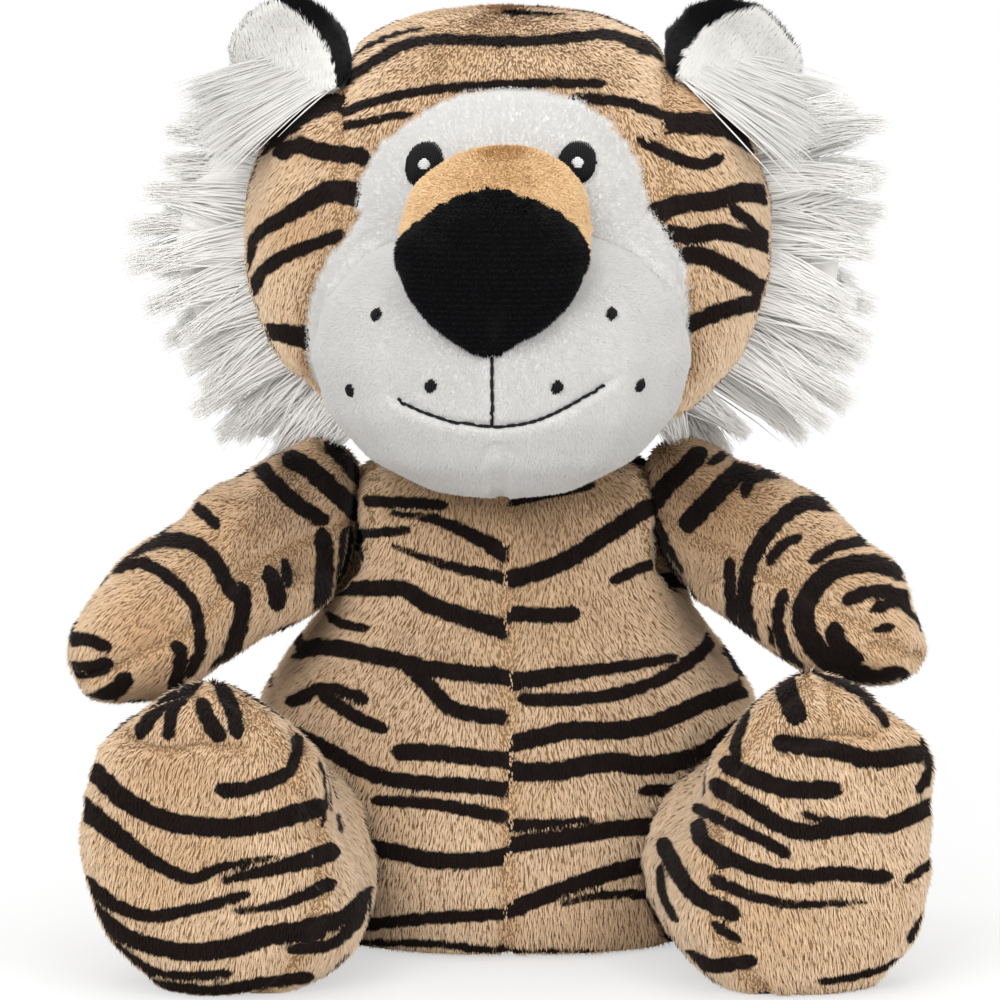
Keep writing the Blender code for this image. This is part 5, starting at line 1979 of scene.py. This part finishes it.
# How each kind of stitch is laid: its rise from the cloth, and the gap and slant of its threads
satin_looks = {
    "eye": {"rise": 0.0016, "gap": 0.00036, "slant": 0.12},
    "glint": {"rise": 0.0003, "gap": 0.00034, "slant": 0, "across": True},
    "dot": {"rise": 0.0007, "gap": 0.00045, "slant": 0.2},
}
thread_radii = {"eye": 0.00021, "glint": 0.0002, "dot": 0.00026, "mouth": 0.00032}
thread_end_share = 0.6
eye_pad_share = 0.96
eye_pad_rise = 0.0015
glint_half_sizes = (0.0011, 0.001)
glint_lift = 0.0017
dot_half_sizes = (0.0011, 0.00125)
dot_pad = (0.0009, 0.0011, 0.0006)
mouth_lift = 0.0004


def satin(tree, spot, half_wide, half_high, seed, rise, gap, slant, across=False):
    """Threads laid side by side over an oval, which stands up from the cloth."""
    chance = np.random.RandomState(seed)
    place, outward = onto(tree, spot)
    right = np.cross((0, 0, 1.0), outward) * -1
    right = right / np.linalg.norm(right)
    if right[0] < 0:
        right = -right
    up = np.cross(outward, right)
    if up[2] < 0:
        up = -up
    paths = []
    reach, run = (half_high, half_wide) if across else (half_wide, half_high)
    for offset in np.arange(-reach + gap / 2, reach, gap):
        half = run * math.sqrt(max(0.0, 1 - (offset / reach) ** 2))
        half += chance.uniform(-0.6, 1.0) * gap * 0.5
        path = []
        for share in np.linspace(-1, 1, 7):
            a, b = offset + share * half * slant, share * half
            x, z = (b, a) if across else (a, b)
            dome = max(0.0, 1 - (x / half_wide) ** 2 - (z / half_high) ** 2)
            path.append(place + right * x + up * z + outward * (rise * math.sqrt(dome) + 0.0001))
        paths.append(np.array(path))
    return paths, (place, right, up, outward)


def pad_under(frame_of_spot, half_wide, half_high, rise):
    """The low oval pad that the threads lie on."""
    place, right, up, outward = frame_of_spot
    bm = bmesh.new()
    bmesh.ops.create_uvsphere(bm, u_segments=20, v_segments=10, radius=1)
    axes = Matrix((right * half_wide, up * half_high, outward * rise)).transposed().to_4x4()
    bmesh.ops.transform(bm, matrix=Matrix.Translation(Vector(place)) @ axes, verts=bm.verts)
    bm.normal_update()
    bmesh.ops.recalc_face_normals(bm, faces=bm.faces)
    return mesh_of(bm, "pad")


def stitched(name, paths, radius, pads, material, node):
    widths = [np.full(len(path), radius) for path in paths]
    for width in widths:
        width[0] = width[-1] = radius * thread_end_share
    thing = strands(name, paths, widths)
    if pads:
        bm = bmesh.new()
        bm.from_mesh(thing.data)
        for pad in pads:
            bm.from_mesh(pad)
        bm.to_mesh(thing.data)
        bm.free()
        thing.data.shade_smooth()
    return placed(dressed(thing, material), "head", node)


class TIGER_OT_stitching(bpy.types.Operator):
    """Stitch the eyes, their glints, the whisker dots and the mouth"""

    bl_idname = "tiger.stitching"
    bl_label = "Stitching"

    def execute(self, context):
        black = thread_finish("black_thread", settings().black)
        white = thread_finish("white_thread", white_thread)
        head = surface_of(bpy.data.objects["head_cover"])
        muzzle = surface_of(bpy.data.objects["muzzle_cover"])
        for side, side_name in sides:
            x, z, wide, high = eyes_mm[side_name]
            wide, high = wide * millimetre, high * millimetre
            paths, spot = satin(head, (x, z), wide, high, 5 + side, **satin_looks["eye"])
            pad = pad_under(spot, wide * eye_pad_share, high * eye_pad_share, eye_pad_rise)
            stitched(f"eye_stitch_{side_name}", paths, thread_radii["eye"], [pad], black, f"eye_{side_name}")
            glint = (x + 0.1 - 0.2 * side, z - 0.35)
            paths, spot = satin(head, glint, *glint_half_sizes, 9 + side, **satin_looks["glint"])
            raised = [path + spot[3] * glint_lift for path in paths]
            name = f"eye_glint_{side_name}"
            stitched(f"glint_stitch_{side_name}", raised, thread_radii["glint"], [], white, name)
            for number, dot in enumerate(dots_mm[side_name], start=1):
                paths, spot = satin(muzzle, dot, *dot_half_sizes, 20 + number, **satin_looks["dot"])
                pad = pad_under(spot, *dot_pad)
                dot_name = f"{side_name}_{number}"
                stitched(f"dot_stitch_{dot_name}", paths, thread_radii["dot"], [pad], black,
                         f"whisker_dot_{dot_name}")
        for name, line in (("mouth_curve", mouth_mm), ("mouth_line", mouth_line_mm)):
            path, widths = [], []
            for number, spot in enumerate(flowing(line, 12)):
                place, outward = onto(muzzle, spot)
                path.append(place + outward * mouth_lift)
                widths.append(thread_radii["mouth"] * (1 if number % 4 else thread_end_share))
            thing = strands(f"{name}_stitch", [np.array(path)], [np.array(widths)])
            placed(dressed(thing, black), "head", name)
        return {"FINISHED"}


# The lamps: name, place, size and power
lamps = (
    ("key", (-0.7, -1.3, 0.8), 0.9, 12.6),
    ("fill", (0.95, -1.1, 0.45), 0.9, 7.4),
    ("top", (0.0, 0.0, 1.3), 1.0, 7.5),
)

# From the toy outwards the seen floor goes over into plain white
glow_reach = (0.09, 0.24)
glow_least_share = 0.55
ray_kinds = ("Camera", "Glossy", "Transmission")


def seen_plainly(recipe):
    """1 where the camera looks straight, through glass or by a mirror at the background."""
    rays = [recipe.node("ShaderNodeLightPath", output=f"Is {kind} Ray") for kind in ray_kinds]
    return recipe.node("ShaderNodeMath", {"operation": "MINIMUM"}, {0: sum(rays[1:], rays[0]), 1: 1.0})


class TIGER_OT_stage(bpy.types.Operator):
    """Set the pale floor, the soft studio light and the camera"""

    bl_idname = "tiger.stage"
    bl_label = "Stage"

    def execute(self, context):
        bm = bmesh.new()
        bmesh.ops.create_grid(bm, x_segments=1, y_segments=1, size=4)
        floor = new_object("floor", mesh_of(bm, "floor"))
        paper = Finish("floor")
        paper.set(Base_Color=(0.86, 0.86, 0.86, 1), Roughness=0.9, Specular_IOR_Level=0.1)
        seen = seen_plainly(paper)
        away = paper.node("ShaderNodeVectorMath", {"operation": "LENGTH"}, {0: paper.place}, "Value")
        glow = paper.node("ShaderNodeEmission", {}, {"Color": (1, 1, 1, 1), "Strength": 1.0})
        share = seen * paper.node("ShaderNodeMapRange", {}, {
            "Value": away, "From Min": glow_reach[0], "From Max": glow_reach[1], "To Min": glow_least_share,
            "To Max": 1.0,
        })
        both = paper.tree.nodes.new("ShaderNodeMixShader")
        paper.tree.links.new(share.socket, both.inputs[0])
        paper.tree.links.new(paper.shader.outputs[0], both.inputs[1])
        paper.tree.links.new(glow.socket, both.inputs[2])
        paper.tree.links.new(both.outputs[0], paper.tree.nodes["Material Output"].inputs["Surface"])
        dressed(floor, paper.material)

        for name, place, size, power in lamps:
            lamp = bpy.data.lights.new(name, "AREA")
            lamp.size = size
            lamp.energy = power
            light = new_object(name, lamp)
            light.location = place
            aim = Vector(camera_target) - light.location
            light.rotation_euler = aim.to_track_quat("-Z", "Y").to_euler()

        world = bpy.context.scene.world or bpy.data.worlds.new("studio")
        bpy.context.scene.world = world
        world.use_nodes = True
        world.node_tree.nodes.clear()
        sky = Recipe(world.node_tree)
        seen = seen_plainly(sky)
        strength = seen * 0.3 + 0.7
        light = sky.node("ShaderNodeBackground", {}, {"Color": (1, 1, 1, 1), "Strength": strength})
        out = world.node_tree.nodes.new("ShaderNodeOutputWorld")
        world.node_tree.links.new(light.socket, out.inputs["Surface"])

        lens = bpy.data.cameras.new("camera")
        lens.lens = camera_lens
        lens.clip_start = 0.01
        camera = new_object("camera", lens)
        camera.location = camera_place
        camera.rotation_euler = (math.pi / 2 - camera_rise, 0, 0)
        bpy.context.scene.camera = camera
        bpy.context.scene.view_settings.view_transform = "Standard"
        return {"FINISHED"}


operators = (
    TIGER_OT_stage, TIGER_OT_torso, TIGER_OT_head, TIGER_OT_muzzle, TIGER_OT_nose, TIGER_OT_ears,
    TIGER_OT_mane, TIGER_OT_stitching, TIGER_OT_limbs,
)


class TIGER_PT_panel(bpy.types.Panel):
    """The pieces of the tiger, and the sizes and colours that they take"""

    bl_idname = "TIGER_PT_panel"
    bl_label = "Tiger"
    bl_space_type = "VIEW_3D"
    bl_region_type = "UI"
    bl_category = "Tiger"

    def draw(self, context):
        for name in TigerSettings.__annotations__:
            self.layout.prop(context.scene.tiger_settings, name)
        for operator in operators:
            self.layout.operator(operator.bl_idname)


classes = (TigerSettings, *operators, TIGER_PT_panel)


def register():
    for made in classes:
        bpy.utils.register_class(made)
    bpy.types.Scene.tiger_settings = PointerProperty(type=TigerSettings)


def unregister():
    del bpy.types.Scene.tiger_settings
    for made in reversed(classes):
        bpy.utils.unregister_class(made)


def main():
    register()
    for operator in operators:
        getattr(bpy.ops.tiger, operator.bl_idname.split(".")[1])()


if __name__ == "__main__":
    main()
